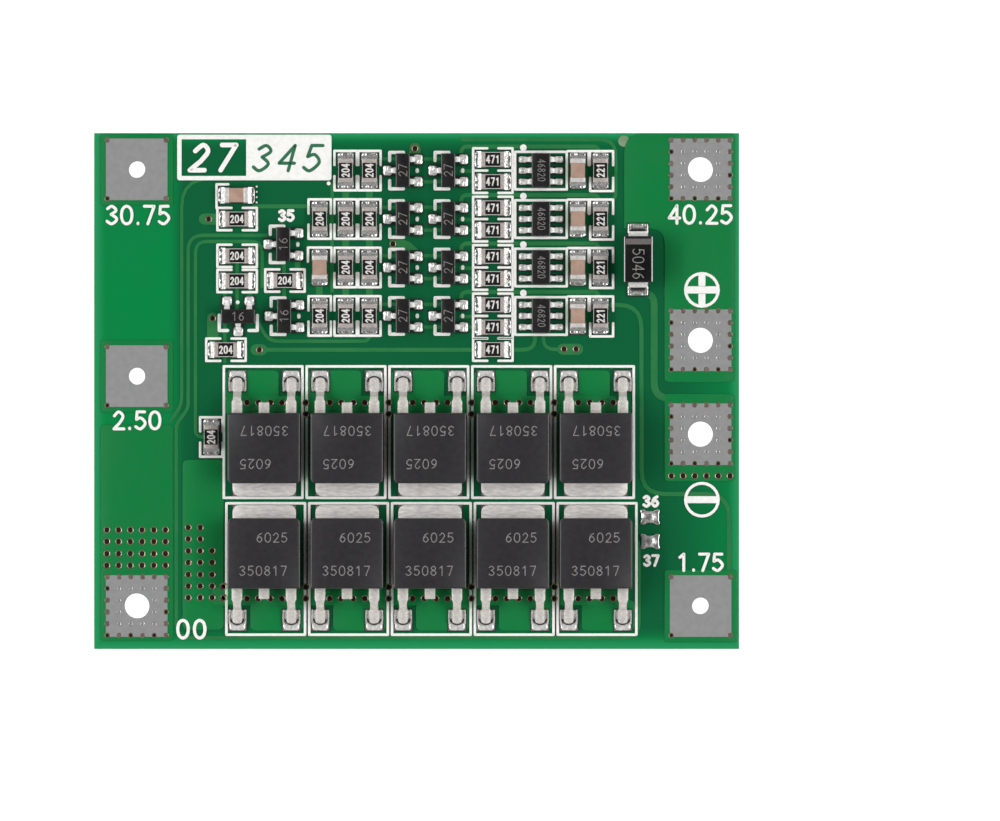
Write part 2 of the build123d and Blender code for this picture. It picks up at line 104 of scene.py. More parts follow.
# %% Note where the parts stand
core_top = low_high("laminate")[1].z
copper_top = low_high("copper_top")[1].z
seat = low_high("pad_plus")[1].z
resistors = [stand(*box) for box in solids_in("resistor_cores")]
capacitors = [stand(*box) for box in solids_in("capacitor_cores")]
small_transistors = []
for low, high in solids_in("small_transistor_bodies"):
    x, y, turn = stand(low, high)
    small_transistors.append((x, y, 90 - turn))
monitors = [stand(*low_high(f"monitor_chip_{n}_body"))[:2] + (0,) for n in range(1, 5)]
power = []
for n in range(1, 11):
    x, y, turn = stand(*low_high(f"power_transistor_{n}_body"))
    metal_low, metal_high = low_high(f"power_transistor_{n}_metal")
    power.append((x, y, 0 if metal_low.y + metal_high.y > 2 * y else 180))
bridges = [stand(*box) for box in solids_in("solder_bridges")]
diode_x, diode_y = stand(*low_high("diode_body"))[:2]
print(len(resistors), "resistors,", len(capacitors), "capacitors,",
      len(small_transistors), "small transistors")
for name, height in (("laminate top", core_top), ("copper top", copper_top), ("seat", seat)):
    print(name, round(height, 3), "mm")

# %% [markdown]
# How a finish is made. No real surface has a single colour, and a picture wrapped round a piece
# would fit only that piece. So a finish is one Principled shader in which two close colours drift
# into each other over a noise, and a finer noise is its bump. Both read the piece's own Object
# coordinates. Colours are noted on a scale of 255 and turned to the linear values a shader takes.

# %% Write a finish
def linear(*color):
    """Linear colour from a colour picker's values."""
    parts = [c / 255 for c in color]
    return [p / 12.92 if p < 0.04045 else ((p + 0.055) / 1.055) ** 2.4 for p in parts] + [1.0]


def finish(name, color, other, roughness, metal=0.0, drift=0.4, grain=0.06, bump=0.1, gloss=0.5,
           stretch=(1, 1, 1)):
    """Two colours that drift over `drift` millimetres, with bumps `grain` millimetres across."""
    material = bpy.data.materials.new(name)
    material.use_nodes = True
    nodes = material.node_tree.nodes
    links = material.node_tree.links
    shader = nodes["Principled BSDF"]
    shader.inputs["Roughness"].default_value = roughness
    shader.inputs["Metallic"].default_value = metal
    shader.inputs["Specular IOR Level"].default_value = gloss
    place = nodes.new("ShaderNodeTexCoord")
    grid = nodes.new("ShaderNodeMapping")
    grid.inputs["Scale"].default_value = stretch
    links.new(place.outputs["Object"], grid.inputs["Vector"])
    patches = nodes.new("ShaderNodeTexNoise")
    patches.inputs["Scale"].default_value = 1 / (drift * MM)
    patches.inputs["Detail"].default_value = 3
    blend = nodes.new("ShaderNodeValToRGB")
    blend.color_ramp.elements[0].position = 0.35
    blend.color_ramp.elements[0].color = linear(*color)
    blend.color_ramp.elements[1].position = 0.65
    blend.color_ramp.elements[1].color = linear(*other)
    links.new(grid.outputs["Vector"], patches.inputs["Vector"])
    links.new(patches.outputs["Fac"], blend.inputs["Fac"])
    links.new(blend.outputs["Color"], shader.inputs["Base Color"])
    if bump:
        specks = nodes.new("ShaderNodeTexNoise")
        specks.inputs["Scale"].default_value = 1 / (grain * MM)
        relief = nodes.new("ShaderNodeBump")
        relief.inputs["Strength"].default_value = bump
        relief.inputs["Distance"].default_value = grain * MM / 2
        links.new(grid.outputs["Vector"], specks.inputs["Vector"])
        links.new(specks.outputs["Fac"], relief.inputs["Height"])
        links.new(relief.outputs["Normal"], shader.inputs["Normal"])
    return material


# %% [markdown]
# The finishes on this board. Mask over copper is lighter than mask over bare laminate, because the
# metal sends light back. Solder is smooth metal, and pure metal mirrors only its surroundings:
# with a dark sky straight above it would go black, so the pale finishes have less metal in
# them. Mouldings are resin filled with glass dust: nearly black, with a fine grain.

# %% Mix the finishes
masked_copper = finish("masked_copper", (18, 121, 62), (26, 120, 64), 0.24, drift=3, grain=0.3,
                       bump=0.03, gloss=0.25)
masked_track = finish("masked_track", (40, 117, 66), (50, 120, 70), 0.24, drift=2, grain=0.3,
                      bump=0.03, gloss=0.25)
olive_land = finish("olive_land", (58, 108, 60), (70, 112, 64), 0.24, drift=0.6, bump=0.03,
                    gloss=0.25)
# Bare laminate at the mask openings, darkened with painted shade round the joints.
relief_with_painted_shade = finish("relief_with_painted_shade", (14, 52, 36), (22, 44, 32), 0.5, drift=0.3, bump=0.1, gloss=0.3)
legend_ink = finish("legend_ink", (245, 245, 241), (237, 236, 232), 0.55, drift=0.4, grain=0.1,
                    bump=0.1)
title_green = finish("title_green", (30, 104, 66), (38, 112, 74), 0.5, drift=0.5, bump=0)

dull_tin = finish("dull_tin", (150, 150, 150), (144, 144, 144), 0.6, metal=0.35, drift=0.5,
                  bump=0.04)
bright_solder = finish("bright_solder", (240, 239, 236), (196, 194, 192), 0.2, metal=0.82,
                       drift=0.22, grain=0.2, bump=0.12)
white_solder = finish("white_solder", (252, 251, 248), (214, 212, 209), 0.24, metal=0.4, drift=0.2,
                      grain=0.2, bump=0.12)
# Painted dark reflection: a dark grey for steep solder slopes and hollows that mirror the dark.
painted_dark_reflection = finish("painted_dark_reflection", (52, 50, 49), (40, 39, 38), 0.5, metal=0.3, drift=0.2)
small_lead_tin = finish("small_lead_tin", (252, 251, 249), (230, 229, 226), 0.2, metal=0.15,
                        drift=0.15, gloss=0.8)
matte_tin = finish("matte_tin", (226, 221, 215), (204, 199, 194), 0.45, metal=0.4, drift=0.2,
                   grain=0.05, bump=0.25)
brushed_tab = finish("brushed_tab", (242, 236, 232), (212, 207, 203), 0.4, metal=0.32, drift=0.18,
                     grain=0.06, bump=0.3, stretch=(0.25, 1, 1))
end_metal = finish("end_metal", (208, 198, 192), (168, 160, 155), 0.4, metal=0.4, drift=0.12,
                   bump=0.3)
pale_end_metal = finish("pale_end_metal", (232, 228, 224), (206, 202, 198), 0.4, metal=0.4,
                        drift=0.16, bump=0.3)

via_copper = finish("via_copper", (122, 112, 84), (160, 152, 126), 0.24, metal=0.6, drift=0.3)
covered_via = finish("covered_via", (104, 134, 98), (142, 160, 132), 0.4, drift=2.5)
# Painted shade of a via's hole, on a dark button in its ring.
via_hole_shade = finish("via_hole_shade", (18, 13, 9), (34, 22, 14), 0.6, drift=0.15, bump=0, gloss=0.2)
rim_well = finish("rim_well", (116, 106, 108), (92, 80, 80), 0.5, metal=0.2, drift=1.5)
dimple_tin = finish("dimple_tin", (186, 186, 187), (164, 163, 165), 0.24, metal=0.4, drift=0.3)
pad_dimple = finish("pad_dimple", (142, 140, 141), (122, 120, 121), 0.5, metal=0.2, drift=1.2,
                    bump=0)

power_moulding = finish("power_moulding", (40, 38, 41), (46, 44, 46), 0.34, drift=0.5, grain=0.05,
                        bump=0.12)
small_moulding = finish("small_moulding", (28, 27, 28), (35, 33, 34), 0.24, drift=0.3, grain=0.05,
                        bump=0.05, gloss=0.6)
diode_black = finish("diode_black", (17, 16, 17), (24, 23, 24), 0.16, drift=0.3, bump=0.03,
                     gloss=0.9)
diode_stripe = finish("diode_band", (104, 98, 96), (92, 87, 86), 0.6, drift=0.2)
etched_mark = finish("etched_mark", (142, 139, 137), (120, 117, 115), 0.8, drift=0.1, bump=0,
                     gloss=0.2)
black_glaze = finish("black_glaze", (20, 19, 20), (28, 26, 27), 0.35, drift=0.3, bump=0.05,
                     gloss=0.3)
chip_code = finish("chip_code", (226, 223, 219), (208, 205, 201), 0.6, drift=0.2, bump=0)
white_ceramic = finish("white_ceramic", (236, 234, 230), (220, 217, 212), 0.5, drift=0.2, bump=0.1)
capacitor_ceramic = finish("capacitor_ceramic", (176, 145, 128), (160, 132, 117), 0.5, drift=0.7,
                           bump=0.12)
print(len(bpy.data.materials), "finishes")

# %% [markdown]
# The laminate is glass cloth in resin. Its broad faces are under green solder mask and its sawn
# edges are bare. It could be cut into a core and two films, but it is one node of the solid model,
# so its finish looks at which way a face points: up or down is mask, and sideways is pale resin
# with fine lines of cloth. Light comes through the sheet near its edges and is stopped by the
# copper on the far side further in. This is painted light: the mask is painted darker inside a soft
# box of Object coordinates and lighter outside it.

# %% Blend by place
def beyond(nodes, links, axes, *zones):
    """1 past any of the (axis, from, to) lines, in millimetres, and 0 inside them all."""
    result = None
    for axis, low, high in zones:
        ramp = nodes.new("ShaderNodeMapRange")
        ramp.interpolation_type = "SMOOTHSTEP"
        ramp.inputs["From Min"].default_value = low * MM
        ramp.inputs["From Max"].default_value = high * MM
        links.new(axes.outputs[axis], ramp.inputs["Value"])
        if result:
            union = nodes.new("ShaderNodeMath")
            union.operation = "MAXIMUM"
            links.new(result, union.inputs[0])
            links.new(ramp.outputs["Result"], union.inputs[1])
            result = union.outputs["Value"]
        else:
            result = ramp.outputs["Result"]
    return result


def mixed(nodes, links, amount, none, full):
    """A blend of two colours, each a socket or a colour."""
    blend = nodes.new("ShaderNodeMix")
    blend.data_type = "RGBA"
    links.new(amount, blend.inputs["Factor"])
    for name, color in (("A", none), ("B", full)):
        if isinstance(color, list):
            blend.inputs[name].default_value = color
        else:
            links.new(color, blend.inputs[name])
    return blend.outputs["Result"]


# %% [markdown]
# The finish itself. `light_zone` is where light comes through the sheet, painted as a lighter
# green, and the rim zone is the last millimetre, painted lighter still as a glow of light scattered
# at the sawn edge. The cloth is a wave along the board's thickness, fine enough to give the layers
# that a sawn edge shows.

# %% Finish the laminate
def laminate_finish():
    """Green mask on the faces, raw glass cloth on the edges."""
    material = finish("masked_laminate", (5, 130, 65), (12, 127, 67), 0.24, drift=6, grain=0.4,
                      bump=0.03, gloss=0.25)
    nodes = material.node_tree.nodes
    links = material.node_tree.links
    base = nodes["Principled BSDF"].inputs["Base Color"]
    open_mask = base.links[0].from_socket
    place = nodes["Texture Coordinate"].outputs["Object"]
    axes = nodes.new("ShaderNodeSeparateXYZ")
    links.new(place, axes.inputs["Vector"])
    light_zone = beyond(nodes, links, axes, ("X", -19.6, -21.3), ("X", 21.0, 30.0),
                        ("Y", 20.4, 22.4), ("Y", -20.0, -21.8))
    rim_glow_zone = beyond(nodes, links, axes, ("X", -26.4, -27.6), ("X", 26.4, 27.6),
                      ("Y", 21.2, 22.1), ("Y", -20.8, -22.1))
    # Painted light: lighter mask where light comes through the sheet, darker further in.
    face = mixed(nodes, links, light_zone, linear(14, 94, 56), open_mask)
    # Painted edge glow: a lighter green over the last millimetre.
    face = mixed(nodes, links, rim_glow_zone, face, linear(40, 146, 92))
    cloth = nodes.new("ShaderNodeTexWave")
    cloth.bands_direction = "Z"
    cloth.inputs["Scale"].default_value = 900
    cloth.inputs["Distortion"].default_value = 1.5
    links.new(place, cloth.inputs["Vector"])
    sawn = nodes.new("ShaderNodeValToRGB")
    sawn.color_ramp.elements[0].color = linear(150, 168, 104)
    sawn.color_ramp.elements[1].color = linear(176, 186, 130)
    links.new(cloth.outputs["Fac"], sawn.inputs["Fac"])
    facing = nodes.new("ShaderNodeNewGeometry")
    upright = nodes.new("ShaderNodeSeparateXYZ")
    level = nodes.new("ShaderNodeMath")
    level.operation = "ABSOLUTE"
    links.new(facing.outputs["True Normal"], upright.inputs["Vector"])
    links.new(upright.outputs["Z"], level.inputs[0])
    skin = mixed(nodes, links, level.outputs["Value"], sawn.outputs["Color"], face)
    links.new(skin, base)
    return material


masked_laminate = laminate_finish()
print("laminate finish:", len(masked_laminate.node_tree.nodes), "nodes")

# %% [markdown]
# Picking things out. Modelling operators act on all that is selected, so each helper clears the
# selection first. By hand one would click faces and edges; here `pick` selects them by their place
# or their direction, in object mode, and leaves the piece open in edit mode.

# %% Select and apply
def only(*pieces):
    """Select these pieces alone, the first one active."""
    bpy.ops.object.select_all(action="DESELECT")
    for piece in pieces:
        piece.select_set(True)
    bpy.context.view_layer.objects.active = pieces[0]


def apply_all(piece):
    """Put a piece's place, turn and size into its mesh."""
    only(piece)
    bpy.ops.object.transform_apply(location=True, rotation=True, scale=True)


def pick(piece, test, kind="VERT"):
    """Edit mode, with what passes the test selected."""
    only(piece)
    bpy.ops.object.mode_set(mode="EDIT")
    bpy.ops.mesh.select_mode(type=kind)
    bpy.ops.mesh.select_all(action="DESELECT")
    bpy.ops.object.mode_set(mode="OBJECT")
    mesh = piece.data
    for item in {"VERT": mesh.vertices, "EDGE": mesh.edges, "FACE": mesh.polygons}[kind]:
        item.select = test(item)
    bpy.ops.object.mode_set(mode="EDIT")


def done():
    """Back to object mode."""
    bpy.ops.object.mode_set(mode="OBJECT")


# %% [markdown]
# Clean ends. Nothing made in a mould or a press has a knife edge, so a narrow bevel goes on
# every edge that turns sharply, and the light finds a thin bright line there. After faces have been
# pulled about, stray double points are merged and all faces are turned outwards.

# %% Round edges and close the skin
SMOOTH_BELOW = 40  # degrees between two faces that are shaded as one


def soften(piece, width, segments=2, angle=30):
    """Round every edge that turns more than the angle."""
    only(piece)
    bevel = piece.modifiers.new("bevel", "BEVEL")
    bevel.width = width
    bevel.segments = segments
    bevel.limit_method = "ANGLE"
    bevel.angle_limit = math.radians(angle)
    bpy.ops.object.modifier_apply(modifier="bevel")
    bpy.ops.object.shade_smooth_by_angle(angle=math.radians(SMOOTH_BELOW))


def outward(piece):
    """Turn every face outwards."""
    pick(piece, lambda vertex: True)
    bpy.ops.mesh.remove_doubles(threshold=0.0005)
    bpy.ops.mesh.normals_make_consistent(inside=False)
    done()


# %% [markdown]
# Copies. A board repeats itself: eleven small transistors, thirty-five chips, hundreds of plated
# holes. Each kind is modelled once about the origin, copied with a mesh of its own, and the copies
# are joined where they are all one node of the solid model.

# %% Move, copy and join
def moved(piece, x=0, y=0, z=0, turn=0):
    """Shift and turn a piece on the bench."""
    piece.location = (x, y, z)
    piece.rotation_euler = (0, 0, math.radians(turn))
    apply_all(piece)
    return piece


def joined(name, *pieces):
    """Several pieces made one."""
    only(*pieces)
    if len(pieces) > 1:
        bpy.ops.object.join()
    pieces[0].name = name
    return pieces[0]


def copied(piece):
    """A second piece with its own mesh."""
    twin = piece.copy()
    twin.data = piece.data.copy()
    bpy.context.collection.objects.link(twin)
    return twin


def repeated(name, pattern, places, height=0.0):
    """Copies of a pattern at (x, y, turn) places, made one piece. The pattern is used up."""
    twins = []
    for x, y, turn in places:
        twin = copied(pattern)
        twin.location = (x, y, height)
        twin.rotation_euler = (0, 0, math.radians(turn))
        twins.append(twin)
    bpy.data.objects.remove(pattern)
    bpy.context.view_layer.update()
    return joined(name, *twins)


# %% [markdown]
# Setting a piece down. `settle` brings it to real size about the origin, gives it its finish, hangs
# it on the frame's body, and hides the nodes of the solid model that it stands for. A node that is
# good as it is keeps its mesh and is only dressed.

# %% Set pieces down
def settle(piece, material, slot, *nodes):
    """Bring a finished piece to real size and hand it to the frame."""
    only(piece)
    bpy.ops.object.transform_apply(location=True, rotation=True, scale=True)
    piece.scale = (MM, MM, MM)
    bpy.ops.object.transform_apply(location=True, rotation=True, scale=True)
    piece.data.materials.clear()
    piece.data.materials.append(material)
    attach(piece, "root")
    if nodes:
        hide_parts(*nodes)
    print(piece.name, len(piece.data.polygons), "faces")
    return piece


def dress(node, material):
    """Give a node of the solid model its finish."""
    node_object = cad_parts[node]
    node_object.data.materials.clear()
    node_object.data.materials.append(material)


wire_pads = [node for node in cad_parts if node.startswith("pad_")]
dress("laminate", masked_laminate)
dress("copper_bottom", masked_copper)
for node in wire_pads:
    dress(node, dull_tin)
print(len(wire_pads), "wire pads dressed")

# %% [markdown]
# Etched copper is a sheet about as thick as a hair, and a board layout turns its tracks in arcs.
# A route is noted by its corners alone, and `rounded` puts a short curve in place of each, as
# wide as the two legs leave room for. That keeps the numbers few and the bends smooth.

# %% Round the corners of a route
ARC_POINTS = 6


def rounded(points, radius, closed=False):
    """A route with its corners rounded. A corner noted as (x, y, r) has its own radius."""
    route = [Vector((point[0], point[1], 0)) for point in points]
    count = len(route)
    path = [] if closed else [route[0]]
    for index in range(count) if closed else range(1, count - 1):
        before, corner, after = route[index - 1], route[index], route[(index + 1) % count]
        into = before - corner
        out = after - corner
        turn = math.pi - into.angle(out)
        own = points[index][2] if len(points[index]) == 3 else radius
        cut = min(own * math.tan(turn / 2), 0.48 * into.length, 0.48 * out.length)
        start = corner + into.normalized() * cut
        end = corner + out.normalized() * cut
        for step in range(ARC_POINTS):
            t = step / (ARC_POINTS - 1)
            path.append(start * (1 - t) ** 2 + corner * 2 * t * (1 - t) + end * t ** 2)
    return path if closed else path + [route[-1]]


# %% [markdown]
# Flat things are drawn as curves: a pour of copper is an outline that is filled, and a track is an
# open line with a round section. Both are then made a mesh and pressed between two heights, so a
# track's section ends up as a low, soft bead, as mask lies over real copper.

# %% Draw curves and press them flat
CREASE = 50  # degrees past which an edge of a pressed curve stays sharp


def flat_curve(name, thickness, edge):
    """An empty curve whose outlines will be filled."""
    curve = bpy.data.curves.new(name, "CURVE")
    curve.dimensions = "2D"
    curve.fill_mode = "BOTH"
    curve.extrude = thickness / 2 - edge
    curve.bevel_depth = edge
    curve.bevel_resolution = 1
    curve.offset = -edge
    piece = bpy.data.objects.new(name, curve)
    bpy.context.collection.objects.link(piece)
    return piece


def round_curve(name, width, sides=1):
    """An empty curve with a round section of one width."""
    curve = bpy.data.curves.new(name, "CURVE")
    curve.dimensions = "3D"
    curve.bevel_depth = width / 2
    curve.bevel_resolution = sides
    curve.use_fill_caps = True
    curve.resolution_u = 3
    piece = bpy.data.objects.new(name, curve)
    bpy.context.collection.objects.link(piece)
    return piece


def outline(piece, points, closed=True, weights=1.0):
    """Add one line or outline to a curve, with one weight or a weight for each point."""
    if not isinstance(weights, list):
        weights = [weights] * len(points)
    spline = piece.data.splines.new("POLY")
    spline.points.add(len(points) - 1)
    for target, point, weight in zip(spline.points, points, weights):
        target.co = (point[0], point[1], 0, 1)
        target.radius = weight
    spline.use_cyclic_u = closed


def meshed(piece, bottom, top, widest=None):
    """Make a curve a mesh between two heights. `widest` is the height of its widest part."""
    only(piece)
    bpy.ops.object.convert(target="MESH")
    piece = bpy.context.object
    low = min(vertex.co.z for vertex in piece.data.vertices)
    high = max(vertex.co.z for vertex in piece.data.vertices)
    squeeze = (top - bottom) / (high - low)
    piece.scale = (1, 1, squeeze)
    piece.location = (0, 0, bottom - low * squeeze)
    apply_all(piece)
    if widest:
        middle = (bottom + top) / 2
        for vertex in piece.data.vertices:
            share = (vertex.co.z - middle) / (top - middle)
            vertex.co.z = widest + share * (top - widest if share > 0 else widest - bottom)
    outward(piece)
    only(piece)
    bpy.ops.object.shade_smooth_by_angle(angle=math.radians(CREASE))
    return piece


# %% [markdown]
# A round pen. A curve's section is cut off square at its ends, but a printed line and a plated
# land end in a half circle. So a stroke has a few points more beyond each end, where the line
# narrows as a circle does; a dot is the same with no line between its two ends.

# %% Draw with a round pen
# How far beyond the line's end, and how wide there, in half widths.
TIP = ((0.96, 0.28), (0.8, 0.6), (0.45, 0.89), (0, 1))


def stroke(piece, points, weight):
    """An open line with round ends."""
    ends = []
    for end, inner in ((points[0], points[1]), (points[-1], points[-2])):
        away = (Vector(end[:2]) - Vector(inner[:2])).normalized() * weight / 2
        ends.append([(end[0] + away.x * reach, end[1] + away.y * reach) for reach, share in TIP])
    shares = [weight * share for reach, share in TIP]
    middle = list(points[1:-1])
    outline(piece, ends[0] + middle + ends[1][::-1], closed=False,
            weights=shares + [weight] * len(middle) + shares[::-1])


def dot(piece, x, y, radius):
    """A round dot."""
    row = [(-reach, share) for reach, share in TIP]
    row += [(reach, share) for reach, share in TIP[-2::-1]]
    outline(piece, [(x + reach * radius, y) for reach, share in row], closed=False,
            weights=[2 * radius * share for reach, share in row])


def circle_points(x, y, radius, count=24):
    """Points round a circle."""
    angles = [step / count * 2 * math.pi for step in range(count)]
    return [(x + radius * math.cos(angle), y + radius * math.sin(angle)) for angle in angles]


def box_points(x_low, x_high, y_low, y_high):
    """Four corners, anticlockwise."""
    return [(x_low, y_low), (x_high, y_low), (x_high, y_high), (x_low, y_high)]


def local(points, x, y, turn):
    """Points of a package's own drawing, set down on the board."""
    sign = 1 if turn == 0 else -1
    return [(x + sign * px, y + sign * py) for px, py in points]


# %% [markdown]
# Landmarks for the copper. A layout is drawn from the pads and the parts outwards, so the places
# that pours and tracks start from are measured here: the wire pads and their holes, and where
# the two rows of power transistors begin and end.

# %% Measure the wire pads and the two rows
pad_centres = {}
hole_radius = {}
for node in wire_pads:
    low, high = low_high(node)
    x, y = (low.x + high.x) / 2, (low.y + high.y) / 2
    pad_centres[node] = (x, y)
    pad_half = (high.x - low.x) / 2
    corners = [vertex.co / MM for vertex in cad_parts[node].data.vertices]
    hole_radius[node] = min(math.hypot(corner.x - x, corner.y - y) for corner in corners)
land_margin = 0.45
land_half = pad_half + land_margin
left_x = pad_centres["pad_cell_0"][0]
right_x, plus_y = pad_centres["pad_plus"]
minus_y = pad_centres["pad_minus"][1]
right_edge = right_x + land_half - 0.2

body_low, body_high = low_high("power_transistor_1_body")
body_width = body_high.x - body_low.x
body_length = body_high.y - body_low.y
half_body = body_length / 2
foot_end = low_high("power_transistor_1_metal")[1].y - power[0][1]
land_end = foot_end + 0.66
upper_row = power[0][1]
lower_row = power[5][1]
row_start = power[0][0] - body_width / 2 - 0.35
row_end = power[4][0] + body_width / 2 - 1.33
print("power transistor", round(body_width, 2), "by", round(body_length, 2), "mm, lands end at",
      round(land_end, 2))

# %% [markdown]
# Pours are the broad fields of copper that carry the battery's current: one round each wire pad,
# one along each row of power transistors, and a patch by the leads of each. The solid model has
# them with square corners, and the outlines drawn here take its place. A pour that holds a wire
# pad gets that pad's hole as an inner outline. From one pour to the next the height drops by a
# ten-thousandth of a millimetre, so that two that overlap never share a plane.

# %% Pour the copper
COPPER_EDGE = 0.02
STRIP_DEPTH = 1.45
HOLE_GAP = 0.1
PLANE_STEP = 0.0001


def pours():
    """Outlines of the filled copper: (points, corner radius)."""
    shapes = []
    for name in ("pad_cell_1", "pad_cell_2", "pad_cell_3"):
        x, y = pad_centres[name]
        around_pad = box_points(x - land_half, x + land_half, y - land_half, y + land_half)
        shapes.append((around_pad, 0.25))
    pour_left = right_x - land_half
    top = pad_centres["pad_cell_4"][1] + land_half
    shoulder = diode_y + 2.65
    low_end = plus_y - land_half - 0.5
    positive = [(17.7, top, 1.7), (17.7, shoulder, 0.1), (pour_left, shoulder, 1.3)]
    positive += [(pour_left, low_end), (right_edge, low_end), (right_edge, top)]
    minus = box_points(pour_left, right_edge, minus_y - 4.0, minus_y + land_half + 0.36)
    ground = box_points(left_x - land_half, left_x + land_half, -21.3, -2.85)
    upper = upper_row + half_body
    lower = lower_row - half_body
    shapes += [(positive, 0.5), (minus, 0.4), (ground, 0.4)]
    shapes.append((box_points(row_start, row_end, upper - 0.1, upper + STRIP_DEPTH), 0.3))
    shapes.append((box_points(row_start - 1, row_end, lower - STRIP_DEPTH, lower + 0.1), 0.3))
    shapes.append((box_points(-19.95, -16.45, -20.35, -5.85), 0.5))
    patch = box_points(-3.3, 1.2, half_body + 1.0, land_end)
    shapes += [(local(patch, x, y, turn), 0.45) for x, y, turn in power]
    return shapes


pour_pieces = []
for number, (points, radius) in enumerate(pours()):
    pour = flat_curve(f"pour_{number}", copper_top - core_top, COPPER_EDGE)
    outline(pour, rounded(points, radius, closed=True))
    spans = [(min(axis), max(axis)) for axis in zip(*[point[:2] for point in points])]
    for node, centre in pad_centres.items():
        if all(low < place < high for place, (low, high) in zip(centre, spans)):
            outline(pour, circle_points(*centre, hole_radius[node] + HOLE_GAP))
    pour_pieces.append(meshed(pour, core_top, copper_top - PLANE_STEP * number))
print(len(pour_pieces), "pours")

# %% [markdown]
# Tracks link the small parts. The solid model has most of them, in the same node as the pours; a
# few short ones are only here. Each is noted by its corners, its width and the radius of its
# bends: first the long runs down the left side and under the small parts, then the stubs
# between chips, and then what the four rows of small parts have alike, once for each row.

# %% Lay the tracks
first_row = max(y for x, y, turn in monitors)
row_pitch = (first_row - min(y for x, y, turn in monitors)) / 3
cell_rows = [first_row - row_pitch * row for row in range(4)]
bridge_x, bridge_low_y = min(bridges, key=lambda place: place[1])[:2]
bridge_in = bridge_x - 0.95


def tracks():
    """Tracks under the mask: (points, width, bend radius)."""
    lines = [
        ([(-15.0, 18.1), (-20.02, 18.1), (-20.02, -1.2), (-21.1, -2.7)], 0.28, 2.4),
        ([(-12.7, 13.28), (-19.47, 13.28), (-19.47, -1.45), (-20.48, -2.85), (-20.48, -21.05),
          (bridge_in, -21.05), (bridge_in, bridge_low_y)], 0.3, 1.3),
        ([(-13.15, 8.8), (-13.15, 12.75), (-18.85, 12.75), (-18.85, -3.92), (-17.5, -3.92)],
         0.3, 1.0),
        ([(-13.6, 6.0), (-12.6, 4.25), (-4.02, 4.25), (-4.02, 5.4)], 0.3, 1.4),
        ([(-13.39, 3.52), (10.1, 3.52), (10.1, 5.6)], 0.35, 1.4),
        ([(10.8, 5.6), (10.8, 3.55), (13.0, 3.55)], 0.3, 1.2),
        ([(-14.0, 15.75), (-7.2, 15.75)], 0.35, 1.0),
        ([(-7.2, 17.7), (-7.2, 8.4)], 0.3, 1.0),
        ([(3.8, 21.45), (16.98, 21.45), (16.98, 16.3), (15.7, 15.85)], 0.3, 1.4),
        ([(diode_x - 0.6, 8.35), (20.25, 8.35), (20.25, -0.6), (23.2, -0.6)], 0.6, 1.3),
        ([(14.6, 7.35), (19.17, 7.35), (19.17, -8.78), (26.62, -8.78), (26.62, -16.5)], 0.36, 2.0),
        ([(-16.35, 2.4), (-16.35, 9.3)], 0.3, 1), ([(-15.3, 5.0), (-15.3, 11.3)], 0.3, 1),
        ([(-14.25, 7.4), (-14.25, 9.3)], 0.4, 1), ([(-11.3, 7.4), (-11.3, 11.6)], 0.3, 1),
        ([(-10.15, 9.6), (-10.15, 11.4)], 0.5, 1), ([(-8.3, 9.2), (-8.3, 7.8)], 0.6, 1),
        ([(-2.3, 12.54), (-0.9, 12.54), (0.1, 11.6)], 0.7, 0.8),
    ]
    for number, y in enumerate(cell_rows):
        bow = [(3.8, y + 0.95), (3.8, y + 2.05), (15.5, y + 2.05), (15.5, y + 1.2)]
        lines.append((bow, 0.35, 1.3))
        lines.append(([(-3.4, y + 1.0), (3.4, y + 1.0)], 0.3, 1))
        lines.append(([(-0.2, y - 0.95), (5.0, y - 0.95)], 0.3, 1))
        lines.append(([(3.6, y - 0.05), (5.0, y - 0.05), (5.4, y + 0.6)], 0.3, 0.8))
        if number < 3:
            for x in (-6.05, -4.02):
                lines.append(([(x, y - 1.4), (x, y + 1.4 - row_pitch)], 0.6, 1))
    return lines


track_curve = round_curve("tracks", 1.0)
for points, width, bend in tracks():
    outline(track_curve, rounded(points, bend), closed=False, weights=width)
for points, width in (
    ([(-18.1, 14.66), (-16.6, 14.66)], 0.95), ([(-17.38, 6.2), (-17.38, 3.6)], 0.98),
    ([(-13.7, 3.52), (-13.2, 3.52)], 0.95), ([(12.45, 3.57), (13.75, 3.57)], 0.95),
):
    stroke(track_curve, points, width)
settle(joined("copper_pours", *pour_pieces), masked_copper, "masked_copper", "copper_top")
settle(meshed(track_curve, core_top, copper_top - 0.008), masked_track, "masked_copper")
olive_curve = round_curve("via_land", 1.0)
stroke(olive_curve, [(-0.14, 20.7), (-0.14, 19.9)], 0.95)
settle(meshed(olive_curve, core_top, copper_top - 0.004), olive_land, "masked_copper")

# %% [markdown]
# Plated through holes, or vias, carry current from one face to the other. Layouts set them in
# grids a millimetre apart: fields of them by the lowest left pad, a row before each power
# transistor, and a square of six by six in each pad that carries the full current. The other
# pads have one at each corner.

# %% Place the vias
def via_places():
    """Centres of all the vias outside the wire pads."""
    spots = []
    for y in (-11.84, -12.83, -13.86, -14.86):
        spots += [(-26.4 + step, y) for step in range(6)]
    cluster = [(-11.63, 2), (-12.61, 2), (-13.62, 3), (-14.61, 3), (-15.64, 3), (-16.62, 4),
               (-17.61, 4)]
    for y, count in cluster:
        spots += [(-19.46 + 1.02 * step, y) for step in range(count)]
    for x, y, turn in power:
        row = [(-1.5, 3.87), (-0.5, 3.87), (0.52, 3.87), (1.5, 3.87)]
        if turn == 180 or x < power[4][0] - 0.1:
            row += [(3.53, 3.87), (3.53, 2.88)]
        spots += local(row, x, y, turn)
    spots += [(right_x - 2.5 + step, minus_y - 3.55) for step in range(6)]
    spots += [(-17.73, 14.66), (-0.14, 20.67), (-2.02, 12.54), (-17.38, 6.2), (-13.39, 3.51)]
    spots += [(12.57, 3.58), (13.59, 3.58)]
    return spots


